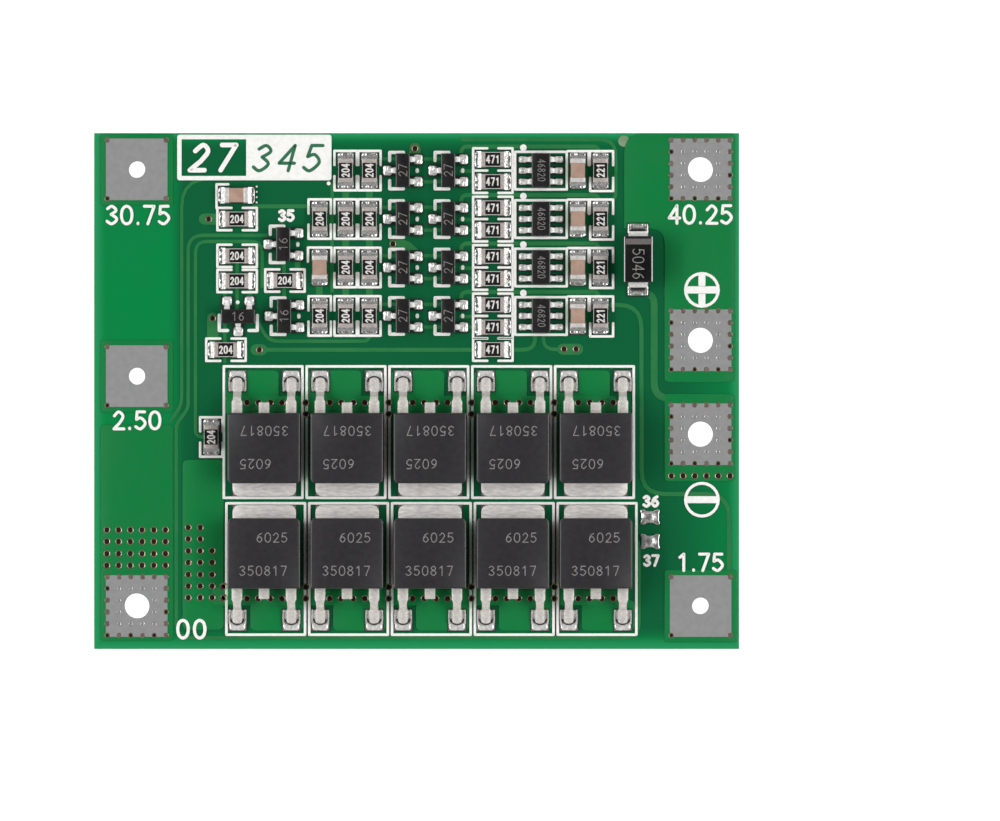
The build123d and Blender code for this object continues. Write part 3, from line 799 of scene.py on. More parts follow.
def pad_via_places():
    """Vias of the wire pads, along the rim and inside: six by six, or one at each corner."""
    rim = []
    inside = []
    full = ("pad_cell_0", "pad_cell_4", "pad_plus", "pad_minus")
    for name, (x, y) in pad_centres.items():
        steps = range(6) if name in full else (0, 5)
        for column in steps:
            for row in steps:
                dx = column - 2.5
                dy = row - 2.5
                if max(abs(dx), abs(dy)) > 2:
                    rim.append((x + dx, y + dy, 0))
                elif max(abs(dx), abs(dy)) > 1:
                    inside.append((x + dx, y + dy, 0))
    return rim, inside


board_vias = [(x, y, 0) for x, y in via_places()]
rim_vias, inside_vias = pad_via_places()
print(len(board_vias), "vias,", len(rim_vias), "on pad rims and", len(inside_vias), "in the pads")

# %% [markdown]
# One via is a ring of copper under a thin film of mask, with a dark well. A hole could be cut
# through the board, but at a quarter of a millimetre a dark button in a ring looks the same and has
# a few dozen faces: the button's dark colour is the painted shade of the hole. The ring starts as a
# filled circle, is raised, drawn in and sunk in the middle. It is made once and copied to every
# place.

# %% Model the ring and the well
VIA_SIDES = 14


def filled_circle(name, radius, vertices=VIA_SIDES):
    """A filled circle, open in edit mode with its face selected."""
    bpy.ops.object.select_all(action="DESELECT")
    bpy.ops.mesh.primitive_circle_add(vertices=vertices, radius=radius, fill_type="NGON")
    piece = bpy.context.object
    piece.name = name
    pick(piece, lambda face: True, "FACE")
    return piece


def raise_face(rise, share=1.0):
    """Pull the selected face up and draw it in to a share of its size."""
    bpy.ops.mesh.extrude_region_move(TRANSFORM_OT_translate={"value": (0, 0, rise)})
    bpy.ops.transform.resize(value=(share, share, 1))


def via_ring(name, radius, well, height):
    """One ring: a disc raised, drawn in and sunk in the middle."""
    ring = filled_circle(name, radius)
    middle = (radius + well) / 2 / radius
    raise_face(height * 0.8, 0.9)
    raise_face(height * 0.2, middle / 0.9)
    raise_face(-height * 0.3, well / radius / middle)
    raise_face(-height * 0.4)
    done()
    outward(ring)
    only(ring)
    bpy.ops.object.shade_smooth_by_angle(angle=math.radians(CREASE))
    return ring


def disc(name, radius, height, vertices=VIA_SIDES):
    """A low round button with a chamfered rim."""
    button = filled_circle(name, radius, vertices)
    raise_face(height * 0.7)
    raise_face(height * 0.3, 0.85)
    done()
    outward(button)
    return button


# %% [markdown]
# On the board the rings are copper under mask. In a wire pad the solder has run over them: at the
# rim a small ring with a filled well, every fourth one open, and further in only a dimple.

# %% Make the vias
rings = repeated("via_rings", via_ring("ring", 0.31, 0.225, 0.06), board_vias, copper_top - 0.005)
settle(rings, via_copper, "masked_copper")
# The dark wells carry the painted shade of each via's hole.
wells = repeated("via_wells", disc("well", 0.235, 0.045), board_vias, copper_top - 0.005)
settle(wells, via_hole_shade, "masked_copper")
rim_rings = repeated("pad_rim_rings", via_ring("ring", 0.24, 0.16, 0.03), rim_vias, seat - 0.005)
settle(rim_rings, via_copper, "tinned_pad")
rim_wells = repeated("pad_rim_wells", disc("well", 0.18, 0.025), rim_vias, seat - 0.005)
settle(rim_wells, rim_well, "tinned_pad")
# The open wells are dark buttons with the painted shade of their holes.
open_wells = repeated("pad_open_wells", disc("well", 0.15, 0.02), rim_vias[::4], seat + 0.01)
settle(open_wells, via_hole_shade, "tinned_pad")
dimple_ring = via_ring("ring", 0.2, 0.13, 0.05)
dimple_rings = repeated("pad_dimple_rings", dimple_ring, inside_vias, seat - 0.01)
settle(dimple_rings, dimple_tin, "tinned_pad")
dimples = repeated("pad_dimples", disc("well", 0.14, 0.03), inside_vias, seat - 0.01)
settle(dimples, pad_dimple, "tinned_pad")
filled_via = moved(disc("filled_via", 0.48, 0.05, vertices=20), 17.67, 21.31, core_top - 0.01)
settle(filled_via, covered_via, "masked_copper")

# %% [markdown]
# The mask stops a little short of every land, so that it can't run onto the metal, and a line of
# bare laminate shows round each joint. The openings could be cut out of a mask film; a flat dark
# plate under each land, let out a little, shows the same line and leaves the solids alone. Its
# near-black green is partly painted shade, the shade that falls round the joints and parts.

# %% Bare laminate round the lands
RELIEF = 0.09
reliefs = []
for node in ("lands_chips", "lands_signal", "lands_power"):
    gap = flat_curve("relief_" + node, 0.1, 0.01)
    for low, high in solids_in(node):
        grown = box_points(low[0] - RELIEF, high[0] + RELIEF, low[1] - RELIEF, high[1] + RELIEF)
        outline(gap, rounded(grown, 0.1, closed=True))
    reliefs.append(meshed(gap, core_top - 0.01, copper_top + 0.006))
settle(joined("relief_with_painted_shade", *reliefs), relief_with_painted_shade, "masked_laminate")

# %% [markdown]
# White legend. It is screen printed, so each line is a bead of ink with round ends, and its digits
# are strokes of one weight, not the filled shapes of a typeface. So each digit is a few points on
# a box one unit high, joined by a loop (o), by a smooth run (s) or by straight lines (l). All
# the text on this board is plain numbers.

# %% Define the stroke digits
DIGITS = {
    "0": [("o", (0.3, 1), (0.08, 0.86), (0, 0.5), (0.08, 0.14),
           (0.3, 0), (0.52, 0.14), (0.6, 0.5), (0.52, 0.86))],
    "1": [("l", (0.1, 0.8), (0.34, 1), (0.34, 0))],
    "2": [("s", (0.04, 0.76), (0.3, 1), (0.55, 0.74), (0.36, 0.36)),
          ("l", (0.36, 0.36), (0.02, 0)), ("l", (0.07, 0), (0.6, 0))],
    "3": [("s", (0.05, 0.86), (0.3, 1), (0.54, 0.77), (0.26, 0.54)),
          ("s", (0.26, 0.54), (0.58, 0.27), (0.3, 0), (0.02, 0.15))],
    "4": [("l", (0.44, 0), (0.44, 1), (0, 0.3), (0.6, 0.3))],
    "5": [("l", (0.54, 1), (0.1, 1), (0.06, 0.56)),
          ("s", (0.06, 0.56), (0.32, 0.64), (0.58, 0.33), (0.3, 0), (0.02, 0.13))],
    "6": [("s", (0.5, 0.95), (0.18, 0.74), (0.03, 0.32)),
          ("o", (0.3, 0.6), (0.03, 0.3), (0.3, 0), (0.57, 0.3))],
    "7": [("l", (0.02, 1), (0.58, 1), (0.22, 0))],
    "8": [("o", (0.3, 1), (0.06, 0.78), (0.3, 0.55), (0.54, 0.78)),
          ("o", (0.3, 0.55), (0.01, 0.27), (0.3, 0), (0.59, 0.27))],
    "9": [("o", (0.3, 1), (0.03, 0.7), (0.3, 0.4), (0.57, 0.7)),
          ("s", (0.57, 0.68), (0.42, 0.26), (0.1, 0.05))],
    ".": [("l", (0.1, 0.01), (0.1, 0.04))],
}
DIGIT_WIDTH, POINT_WIDTH = 0.6, 0.2
print(len(DIGITS), "signs, each of a few strokes")

# %% [markdown]
# Writing. The smooth runs pass through their points with a Catmull-Rom spline, worked out here in
# four steps between each two, so that a digit is the same mesh every time. `write` centres a number
# on its place, so a label can be turned or made narrower without moving it.

# %% Write a number
def smooth(points, loop):
    """A smooth run through the points, four steps between each two."""
    count = len(points)
    path = []
    for index in range(count if loop else count - 1):
        near = [points[(index + step) % count] for step in (-1, 0, 1, 2)]
        if not loop and index == 0:
            near[0] = near[1]
        if not loop and index == count - 2:
            near[3] = near[2]
        for step in range(4):
            t = step / 4
            path.append(tuple(
                0.5 * (2 * b + (c - a) * t + (2 * a - 5 * b + 4 * c - d) * t ** 2
                       + (3 * b - a - 3 * c + d) * t ** 3)
                for a, b, c, d in zip(*near)
            ))
    return path if loop else path + [points[-1]]


def write(piece, text, x, y, height, weight, turn=0, slant=0.0, narrow=1.0, gap=0.24):
    """Write a number about a centre, in strokes of one weight."""
    advances = [POINT_WIDTH if letter == "." else DIGIT_WIDTH for letter in text]
    total = (sum(advances) + gap * (len(text) - 1)) * height * narrow
    cosine, sine = math.cos(math.radians(turn)), math.sin(math.radians(turn))
    start = -total / 2
    for letter, advance in zip(text, advances):
        for kind, *points in DIGITS[letter]:
            spots = []
            for px, py in points:
                across = start + px * height * narrow + slant * (py - 0.5) * height
                up = (py - 0.5) * height
                spots.append((x + across * cosine - up * sine, y + across * sine + up * cosine))
            if kind == "o":
                outline(piece, smooth(spots, True), closed=True, weights=weight)
            elif kind == "s":
                stroke(piece, smooth(spots, False), weight)
            else:
                for pair in zip(spots, spots[1:]):
                    stroke(piece, pair, weight)
        start += (advance + gap) * height * narrow


# %% [markdown]
# Brackets. A printed line about a fifth of a millimetre wide stands round each part, broken where
# copper or another part's line runs past, and a dot marks the first lead of a chip. Parts of a
# kind have the same drawing, so each drawing is noted once, from the part's own centre.

# %% Draw with ink
legend = round_curve("legend", 1.0)
LINE = 0.21
HEAVY = 0.28


def ink(*points, weight=LINE, closed=False):
    """A printed line, each of its legs a stroke of its own so that corners stay full."""
    for pair in zip(points, points[1:] + points[:1] if closed else points[1:]):
        stroke(legend, pair, weight)


def frame_round(x, y, turn, half_length, half_width, gap, weight=LINE):
    """Two facing brackets about a part, open in the middle of its long sides."""
    for side in (-1, 1):
        corner = [(side * gap / 2, half_width), (side * half_length, half_width)]
        corner += [(side * half_length, -half_width), (side * gap / 2, -half_width)]
        if turn:
            corner = [(py, px) for px, py in corner]
        ink(*[(x + px, y + py) for px, py in corner], weight=weight)


# %% [markdown]
# The chips in the right-hand column stand inside the monitor chips' own lines, and so do the
# capacitors beside them. The others have a bracket each.

# %% Draw the brackets round the parts
for x, y, turn in resistors:
    if x < 7.5:
        frame_round(x, y, turn, 1.68, 0.95, 0.95)
for x, y, turn in capacitors:
    if x < -10:
        ink((x - 0.7, y + 0.94), (x - 1.7, y + 0.94), (x - 1.7, y - 1.1))
        for step in range(4):
            dot(legend, x + 1.72, y + 0.75 - 0.45 * step, 0.08)
    elif x < 0:
        ink((x - 1.0, y + 0.5), (x - 1.0, y + 1.7), (x + 1.0, y + 1.7), (x + 1.0, y + 0.5))
for x, y, turn in small_transistors:
    if turn == 90:
        for side in (-1, 1):
            out = x + side * 1.62
            ink((out, y + 0.1), (out, y - 1.2), (x + side * 0.9, y - 1.2), weight=HEAVY)
        dot(legend, x - 0.05, y + 1.2, 0.17)
    else:
        for side in (-1, 1):
            out = y + side * 1.55
            ink((x - 1.12, y + side * 0.85), (x - 1.12, out), (x + 0.05, out), weight=HEAVY)
        ink((x + 1.22, y - 0.06), (x + 1.22, y + 0.06), weight=0.3)
for x, y, turn in monitors:
    ink((x - 2.2, y + 1.6), (x - 2.2, y - 1.6), (x + 2.2, y - 1.6), (x + 2.2, y + 1.6), closed=True)
    dot(legend, x - 1.5, y + 1.95, 0.29)
    ink((x + 2.3, y + 1.66), (x + 6.15, y + 1.66), (x + 6.15, y + 0.45))
    ink((x + 4.12, y + 1.5), (x + 4.12, y + 0.5), weight=0.32)
    ink((x + 4.2, y - 0.62), (x + 4.2, y - 1.74), (x + 6.15, y - 1.74), (x + 6.15, y - 0.62))
for x, y, turn in power:
    ink(*local(box_points(-3.46, 3.24, -4.24, 6.96), x, y, turn), closed=True, weight=0.22)
print(len(legend.data.splines), "printed strokes round the parts")

# %% [markdown]
# Labels. Most wire pads have a number beside them, and small pairs of digits name single parts.
# Each label is noted by its number, its centre, its height and the weight of its strokes.

# %% Write the numbers on the board
TITLE_HEIGHT = 2.15
for number, x, y, height, weight in (
    ("30.75", -23.75, 15.0, 1.5, 0.25), ("40.25", 24.2, 15.05, 1.5, 0.25),
    ("2.50", -23.85, -2.5, 1.45, 0.25),
):
    write(legend, number, x, y, height, weight)
write(legend, "00", -19.2, -20.3, 1.5, 0.27, gap=0.35)
for number, x, y, height, weight in (
    ("1.75", 24.2, -14.6, 1.4, 0.25), ("35", -11.1, 14.95, 0.85, 0.26),
    ("36", 19.97, -9.4, 0.85, 0.26), ("37", 20.0, -14.45, 0.85, 0.24),
):
    write(legend, number, x, y, height, weight)
write(legend, "27", -17.35, 19.9, TITLE_HEIGHT, 0.4, slant=0.26, gap=0.42)
dot(legend, -7.5, 17.7, 0.17)
sign_x, plus_sign_y, minus_sign_y, sign_radius = 24.32, 8.62, -9.26, 1.4
for sign_y in (plus_sign_y, minus_sign_y):
    outline(legend, circle_points(sign_x, sign_y, sign_radius), weights=0.25)
print(len(legend.data.splines), "printed strokes with the labels")
legend_piece = meshed(legend, core_top - 0.02, copper_top + 0.03, widest=copper_top + 0.006)

# %% [markdown]
# Broad fields of ink, where a line would have to be too heavy: the bars of the plus and minus
# signs, and the title block. The block is half white with green digits, and half a white frame
# with white digits. In a filled curve an outline inside another is a hole, so the frame and the
# white half are one outline with the window cut out of it.

# %% Fill the signs and the title block
BAR_END, BAR_HALF = 1.35, 0.3
blocks = flat_curve("legend_blocks", 0.1, 0.02)
for x_half, y_low, y_high in (
    (BAR_END, plus_sign_y - 0.31, plus_sign_y + 0.31),
    (BAR_END, minus_sign_y - BAR_HALF, minus_sign_y + BAR_HALF),
    (BAR_HALF, plus_sign_y + 0.33, plus_sign_y + BAR_END),
    (BAR_HALF, plus_sign_y - BAR_END, plus_sign_y - 0.33),
):
    bar = box_points(sign_x - x_half, sign_x + x_half, y_low, y_high)
    outline(blocks, rounded(bar, 0.08, closed=True))
title_block = box_points(-20.41, -7.25, 17.96, 21.85)
title_window = box_points(-20.03, -14.53, 18.34, 21.46)
outline(blocks, rounded(title_block, 0.25, closed=True))
outline(blocks, rounded(title_window, 0.05, closed=True))
blocks_piece = meshed(blocks, core_top - 0.01, copper_top + 0.025)
settle(joined("legend", legend_piece, blocks_piece), legend_ink, "masked_laminate")
title = round_curve("title_digits", 1.0)
write(title, "345", -10.95, 19.85, TITLE_HEIGHT, 0.29, slant=0.28, gap=0.4)
title_digits = meshed(title, copper_top, copper_top + 0.05, widest=copper_top + 0.03)
settle(title_digits, title_green, "masked_laminate")

# %% [markdown]
# Power transistors. On the real one the resin is pressed in a mould, so its walls lean in above
# and below the parting line to let it go, and two of its corners are rounded beside the tab. A
# bevelled box would have upright walls; `grow` pulls a face up through heights instead, with
# its size changed at each, which is how a moulding is drawn.

# %% Pull a moulding up
def grow(name, width, length, stations, corner=0.0, only_low_y=False, segments=4):
    """A rectangle pulled up through (height, inset) stations, its corners rounded."""
    first_height, first_inset = stations[0]
    bpy.ops.object.select_all(action="DESELECT")
    bpy.ops.mesh.primitive_plane_add(size=1, location=(0, 0, first_height))
    piece = bpy.context.object
    piece.name = name
    piece.scale = (width - 2 * first_inset, length - 2 * first_inset, 1)
    apply_all(piece)
    if corner:
        pick(piece, lambda vertex: not only_low_y or vertex.co.y < 0)
        bpy.ops.mesh.bevel(offset=corner, segments=segments, affect="VERTICES")
        done()
    pick(piece, lambda face: True, "FACE")
    for (height, inset), (next_height, next_inset) in zip(stations, stations[1:]):
        rise = (0, 0, next_height - height)
        bpy.ops.mesh.extrude_region_move(TRANSFORM_OT_translate={"value": rise})
        share = (
            (width - 2 * next_inset) / (width - 2 * inset),
            (length - 2 * next_inset) / (length - 2 * inset),
            1,
        )
        bpy.ops.transform.resize(value=share, center_override=(0, 0, next_height))
    done()
    outward(piece)
    return piece


# %% [markdown]
# The tab is the end of the copper slab that the silicon sits on. It is soldered down whole, and
# takes the heat into the board.

# %% Model the moulding and the tab
LEAD_HEIGHT = 0.9
LEAD_THICKNESS = 0.5
SLAB_THICKNESS = 0.5
TAB_WIDTH, TAB_LENGTH, TAB_REACH = 5.4, 4.4, 1.1
DRAFT = 0.12
CHAMFER = 0.1
parting = seat + LEAD_HEIGHT + LEAD_THICKNESS
body_crown = body_high.z


def power_body():
    """Moulding with leaning walls."""
    stations = [(body_low.z, DRAFT / 2), (parting - 0.03, 0.01), (parting, 0),
                (body_crown - CHAMFER / 2, DRAFT - CHAMFER), (body_crown, DRAFT)]
    piece = grow("moulding", body_width, body_length, stations, corner=0.42, only_low_y=True)
    soften(piece, 0.025)
    return piece


def power_tab():
    """The tab, the end of the slab that the silicon sits on."""
    slab = [(seat, 0), (seat + SLAB_THICKNESS, 0)]
    tab = grow("tab", TAB_WIDTH, TAB_LENGTH, slab, corner=0.6, only_low_y=True)
    soften(tab, 0.05)
    return moved(tab, y=TAB_LENGTH / 2 - half_body - TAB_REACH)


moulding = power_body()
tab = power_tab()

# %% [markdown]
# The leads are stamped from sheet and bent: a broad shoulder level with the parting line, a
# narrower drop, then a foot that widens a little and ends in a narrowed toe. `ribbon` pulls an edge
# along such a route and thickens it, so each bend is one line in the list. The centre lead is
# cut short, and does nothing but hold the strip together before the parts are cut apart.

# %% Pull a lead along its route
def ribbon(name, stations, thickness, edge=0.04):
    """A strip pulled along (y, z, width) stations and thickened: a formed lead."""
    y, z, width = stations[0]
    start_depth = 0.01
    bpy.ops.object.select_all(action="DESELECT")
    bpy.ops.mesh.primitive_plane_add(size=1, location=(0, y - start_depth / 2, z))
    piece = bpy.context.object
    piece.name = name
    piece.scale = (width, start_depth, 1)
    apply_all(piece)
    pick(piece, lambda vertex: vertex.co.y > y - start_depth / 2)
    for (y, z, width), (next_y, next_z, next_width) in zip(stations, stations[1:]):
        step = (0, next_y - y, next_z - z)
        bpy.ops.mesh.extrude_edges_move(TRANSFORM_OT_translate={"value": step})
        share = (next_width / width, 1, 1)
        bpy.ops.transform.resize(value=share, center_override=(0, next_y, next_z))
    done()
    shell = piece.modifiers.new("shell", "SOLIDIFY")
    shell.thickness = thickness
    shell.offset = 0
    only(piece)
    bpy.ops.object.modifier_apply(modifier="shell")
    outward(piece)
    soften(piece, edge)
    return piece


LEAD_SPACING = 2.3
SHOULDER, SHANK, FOOT, TOE = 0.88, 0.66, 0.76, 0.52
ROOT = 0.3


def power_leads():
    """The cut centre lead and the two formed leads."""
    level = seat + LEAD_HEIGHT + LEAD_THICKNESS / 2
    foot = seat + LEAD_THICKNESS / 2
    edge = half_body
    stations = [(edge - ROOT, level, SHOULDER), (edge + 0.95, level, SHOULDER),
                (edge + 1.08, level, 0.7), (edge + 1.22, level - 0.06, SHANK),
                (edge + 1.62, foot + 0.08, SHANK), (edge + 1.78, foot, 0.7),
                (edge + 2.0, foot, FOOT), (foot_end - 0.16, foot, FOOT + 0.02),
                (foot_end - 0.05, foot, 0.7), (foot_end, foot, TOE)]
    left = moved(ribbon("lead", stations, LEAD_THICKNESS), x=-LEAD_SPACING)
    right = moved(copied(left), x=2 * LEAD_SPACING)
    cut_short = [(edge - ROOT, level, SHOULDER), (edge + 0.88, level, SHOULDER)]
    stub = ribbon("stub", cut_short, LEAD_THICKNESS)
    return joined("leads", left, right, stub)


leads = power_leads()
print("leads:", len(leads.data.polygons), "faces")

# %% [markdown]
# Solder. A drop is never the same twice: it climbs what it wets and its skin is a little wavy, and
# that is what breaks up the reflections. `mound` starts as a grid, is raised, lifted at a few
# places with proportional editing, shaken by a seeded random move, and rounded off by one level
# of Subdivision Surface.

# %% Raise a drop of solder
def mound(name, width, length, height, lifts, cuts, seed, wobble, falloff="SMOOTH", corner=0.0):
    """A drop of solder on a land, lifted at (x, y, height, reach) and slightly uneven."""
    bpy.ops.object.select_all(action="DESELECT")
    bpy.ops.mesh.primitive_grid_add(x_subdivisions=cuts[0], y_subdivisions=cuts[1], size=1)
    piece = bpy.context.object
    piece.name = name
    piece.scale = (width, length, 1)
    apply_all(piece)
    if corner:
        at_corner = (width + length) / 2 - 0.01
        pick(piece, lambda vertex: abs(vertex.co.x) + abs(vertex.co.y) > at_corner)
        bpy.ops.transform.resize(value=(1 - 2 * corner / width, 1 - 2 * corner / length, 1))
        done()
    pick(piece, lambda face: True, "FACE")
    bpy.ops.mesh.extrude_region_move(TRANSFORM_OT_translate={"value": (0, 0, height)})
    done()
    for x, y, rise, reach in lifts:
        tops = [v for v in piece.data.vertices if v.co.z > height / 2]
        near = min(tops, key=lambda v: (v.co.x - x) ** 2 + (v.co.y - y) ** 2).index
        pick(piece, lambda vertex: vertex.index == near)
        bpy.ops.transform.translate(
            value=(0, 0, rise), use_proportional_edit=True, use_proportional_connected=True,
            proportional_edit_falloff=falloff, proportional_size=reach,
        )
        done()
    pick(piece, lambda vertex: vertex.co.z > height / 2)
    bpy.ops.transform.vertex_random(offset=wobble, uniform=0.6, seed=seed)
    bpy.ops.mesh.select_all(action="DESELECT")
    done()
    outward(piece)
    rounder = piece.modifiers.new("rounder", "SUBSURF")
    rounder.levels = 1
    rounder.render_levels = 1
    only(piece)
    bpy.ops.object.modifier_apply(modifier="rounder")
    bpy.ops.object.shade_smooth()
    return piece


# %% [markdown]
# Round a foot the solder lies as a thin sheet with a thicker bead along each side. The steep little
# slope at its toe turns away from both lights, so it shows as a dark line. That line is a painted
# dark reflection: a thin dark bead of its own in a dark finish, drawn round each toe.

# %% Model the solder of a power transistor
# One bead, in (reach from the foot's middle, distance from the land's end, width).
BEAD = ((0.58, 0.5, 0.1), (0.62, 0.66, 0.26), (0.66, 0.82, 0.16), (0.69, 1.0, 0.14),
        (0.69, 1.35, 0.14), (0.66, 1.55, 0.14), (0.64, 1.68, 0.22), (0.63, 1.78, 0.1))
BEAD_HEIGHT = 0.2
TOE_ARC, TOE_ARC_POINTS = 0.56, 15


def power_solder():
    """A thin sheet of solder on each land, with a bead along each side of the foot."""
    drops = []
    beads = round_curve("beads", 1.0)
    lifts = [(-0.62, 0.3, 0.12, 0.22), (0.62, 0.25, 0.12, 0.22), (-0.62, -0.75, 0.06, 0.2),
             (0.62, -0.75, 0.06, 0.2), (0.2, 0.7, 0.05, 0.3), (-0.4, 0.75, 0.05, 0.25)]
    for side in (-1, 1):
        x = side * LEAD_SPACING
        sheet = mound("sheet", 1.38, 1.74, 0.12, lifts, cuts=(9, 10), seed=3 + side, wobble=0.034,
                      corner=0.1)
        drops.append(moved(sheet, x=x, y=land_end - 0.9, z=seat - 0.05))
        for edge in (-1, 1):
            path = [(x + edge * reach, land_end - down) for reach, down, width in BEAD]
            outline(beads, path, closed=False, weights=[width for reach, down, width in BEAD])
    drops.append(meshed(beads, seat, seat + BEAD_HEIGHT))
    return joined("solder", *drops)


def toe_dark_reflections():
    """A painted dark reflection: the dark line of the solder's steep slope round each toe."""
    lines = round_curve("toe_dark_reflections", 1.0)
    angles = [math.radians(8 + 164 * step / (TOE_ARC_POINTS - 1)) for step in range(TOE_ARC_POINTS)]
    for side in (-1, 1):
        x, y = side * LEAD_SPACING, foot_end - 0.42
        arc = [(x + TOE_ARC * math.cos(angle), y + TOE_ARC * math.sin(angle)) for angle in angles]
        outline(lines, arc, closed=False, weights=0.11)
    return meshed(lines, seat, seat + BEAD_HEIGHT)


drops = power_solder()

# %% [markdown]
# The mouldings are marked by a laser, which leaves the resin rough and pale. The marks are written
# in strokes like the legend, a hundredth of a millimetre high. Then one transistor is modelled,
# and it is set down ten times: each moulding and each set of leads is a node of its own, and
# what has no node of its own in the solid model is joined over all ten.

# %% Set down the ten power transistors
def marks(text_lines, height, weight, spread, top):
    """Etched lines of numbers on a package's crown."""
    curve = round_curve("marks", 1.0, sides=0)
    for text, x, y in text_lines:
        write(curve, text, x, y, height, weight, gap=spread)
    return meshed(curve, top - 0.01, top + 0.008)


def set_down(pattern, name, x, y, turn, material, slot, node):
    """A copy of a pattern at one place, in the place of one node."""
    twin = moved(copied(pattern), x, y, 0, turn)
    twin.name = name
    settle(twin, material, slot, node)


etching = marks([("6025", 0.7, 1.35), ("350817", -0.05, -1.47)], 0.78, 0.09, 0.3, body_crown)
for number, (x, y, turn) in enumerate(power, start=1):
    part = f"power_transistor_{number}"
    set_down(moulding, part + "_moulding", x, y, turn, power_moulding, "power_moulding",
             part + "_body")
    set_down(leads, part + "_leads", x, y, turn, matte_tin, "power_metal", part + "_metal")
mark_places = [(x, y, turn + 180) for x, y, turn in power]
settle(repeated("power_transistor_marks", etching, mark_places), etched_mark, "power_moulding")
settle(repeated("power_transistor_solder", drops, power), white_solder, "solder")
# Painted dark reflection round each toe.
settle(repeated("power_transistor_toe_dark_reflections", toe_dark_reflections(), power), painted_dark_reflection, "solder")
toe = mound("toe", 1.3, 0.62, 0.12, [(0.3, 0.1, 0.06, 0.25), (-0.35, 0, 0.05, 0.25)],
            cuts=(10, 6), seed=5, wobble=0.03, corner=0.08)
moved(toe, x=LEAD_SPACING, y=land_end - 0.36)
toes = joined("toes", toe, moved(copied(toe), x=-2 * LEAD_SPACING))
settle(repeated("power_transistor_toe_solder", toes, power, seat - 0.02), white_solder, "solder")
settle(repeated("power_transistor_tabs", tab, power), brushed_tab, "power_metal")
bpy.data.objects.remove(moulding)
bpy.data.objects.remove(leads)

# %% [markdown]
# Chip resistors: a white ceramic slab with a black glaze on top and metal wrapped round both ends.
# Chip capacitors are the same size, and ceramic all through, a warm beige. The metal of an end
# is a little rounder than the ceramic, since it is dipped on. Slab, glaze and ends are pieces of
# their own, because each has a finish of its own.

# %% Model the ends of a chip and their solder
CHIP_LENGTH, CHIP_WIDTH, END = 2.0, 1.25, 0.38
RAMP_LENGTH, RAMP_WIDTH = 0.72, 1.34
resistor_height = low_high("resistor_ends")[1].z - seat
capacitor_height = low_high("capacitor_ends")[1].z - seat


def chip_ends(height):
    """Two metal caps."""
    caps = []
    for side in (-1, 1):
        cap = grow("cap", END, CHIP_WIDTH, [(0, 0), (height, 0)])
        soften(cap, 0.06)
        caps.append(moved(cap, x=side * (CHIP_LENGTH - END) / 2))
    return joined("ends", *caps)


def chip_solder(seed):
    """A hollow ramp of solder at each end of a chip, a little different at each seed."""
    dice = random.Random(seed)
    ramps = []
    for side in (-1, 1):
        lifts = [(-0.35, place, dice.uniform(0.02, 0.2), 0.36)
                 for place in (-0.5, -0.17, 0.17, 0.5)]
        lifts += [(0.22, dice.uniform(-0.5, 0.5), dice.uniform(0.05, 0.12), 0.2)
                  for _ in range(3)]
        ramp = mound("ramp", RAMP_LENGTH, RAMP_WIDTH, 0.09, lifts, cuts=(8, 11), seed=seed + side,
                     wobble=0.038, falloff="SHARP", corner=0.09)
        turn = 0 if side > 0 else 180
        ramps.append(moved(ramp, x=side * (CHIP_LENGTH / 2 + 0.19), z=-0.04, turn=turn))
    return joined("ramps", *ramps)


# %% [markdown]
# All resistors lie flat on their lands, so one of each piece is copied to all the places. The
# solder would look stamped if it were all the same, so it is made in four versions, dealt out in
# turn, and each version takes its uneven heights from its own seed.

# %% Set down the chips
CORE_LIFT = 0.04
core_length = CHIP_LENGTH - 2 * END
slab = grow("slab", core_length, CHIP_WIDTH - 0.03, [(CORE_LIFT, 0), (resistor_height - 0.03, 0)])
settle(repeated("resistor_ceramic", slab, resistors, seat), white_ceramic, "resistor_body",
       "resistor_cores")
coat = [(resistor_height - 0.04, 0), (resistor_height + 0.012, 0.015)]
glaze = grow("glaze", 1.3, 1.15, coat, corner=0.04)
settle(repeated("resistor_glaze", glaze, resistors, seat), black_glaze, "resistor_body")
settle(repeated("resistor_end_caps", chip_ends(resistor_height), resistors, seat), end_metal,
       "chip_end_metal", "resistor_ends")
ceramic = [(CORE_LIFT, 0), (capacitor_height - 0.03, 0)]
block = grow("block", core_length, CHIP_WIDTH - 0.05, ceramic)
soften(block, 0.04)
settle(repeated("capacitor_block", block, capacitors, seat), capacitor_ceramic,
       "capacitor_ceramic", "capacitor_cores")
settle(repeated("capacitor_end_caps", chip_ends(capacitor_height), capacitors, seat),
       pale_end_metal, "chip_end_metal", "capacitor_ends")
chips = resistors + capacitors
ramps = [repeated("ramps", chip_solder(20 * (step + 1)), chips[step::4], seat) for step in range(4)]
settle(joined("chip_solder", *ramps), bright_solder, "solder")

# %% [markdown]
# Each resistor has three digits printed on its glaze. Here each of the three fields of resistors
# has one number, and a number turns with its chip.

# %% Number the resistors
codes = round_curve("codes", 1.0, sides=0)
for number, (x, y, turn) in enumerate(resistors):
    code = ("204", "471", "221")[0 if x < 3 else 1 if x < 10 else 2]
    write(codes, code, x, y, 0.6, 0.13, turn=turn, narrow=0.72, gap=0.34)
top = seat + resistor_height
settle(meshed(codes, top - 0.01, top + 0.03), chip_code, "resistor_body")

# %% [markdown]
# Small transistors and monitor chips share one lead frame pitch and one length, so the same two
# helpers make both: a drafted moulding, and a thin lead that steps down to the board. A transistor
# has one lead on the left and two on the right, and a monitor chip has three on each side.

# %% Model the small moulding and its lead
small_low, small_high = low_high("monitor_chip_1_body")
monitor_crown = small_high.z
transistor_crown = low_high("small_transistor_bodies")[1].z
SMALL_LENGTH = small_high.y - small_low.y
STEP = 0.95
THIN = 0.13


def small_body(width, crown):
    """Moulding of a small package."""
    stations = [(seat + 0.05, 0.045), (seat + 0.63, 0), (crown - 0.035, 0.015), (crown, 0.09)]
    piece = grow("small", width, SMALL_LENGTH, stations)
    soften(piece, 0.02)
    return piece


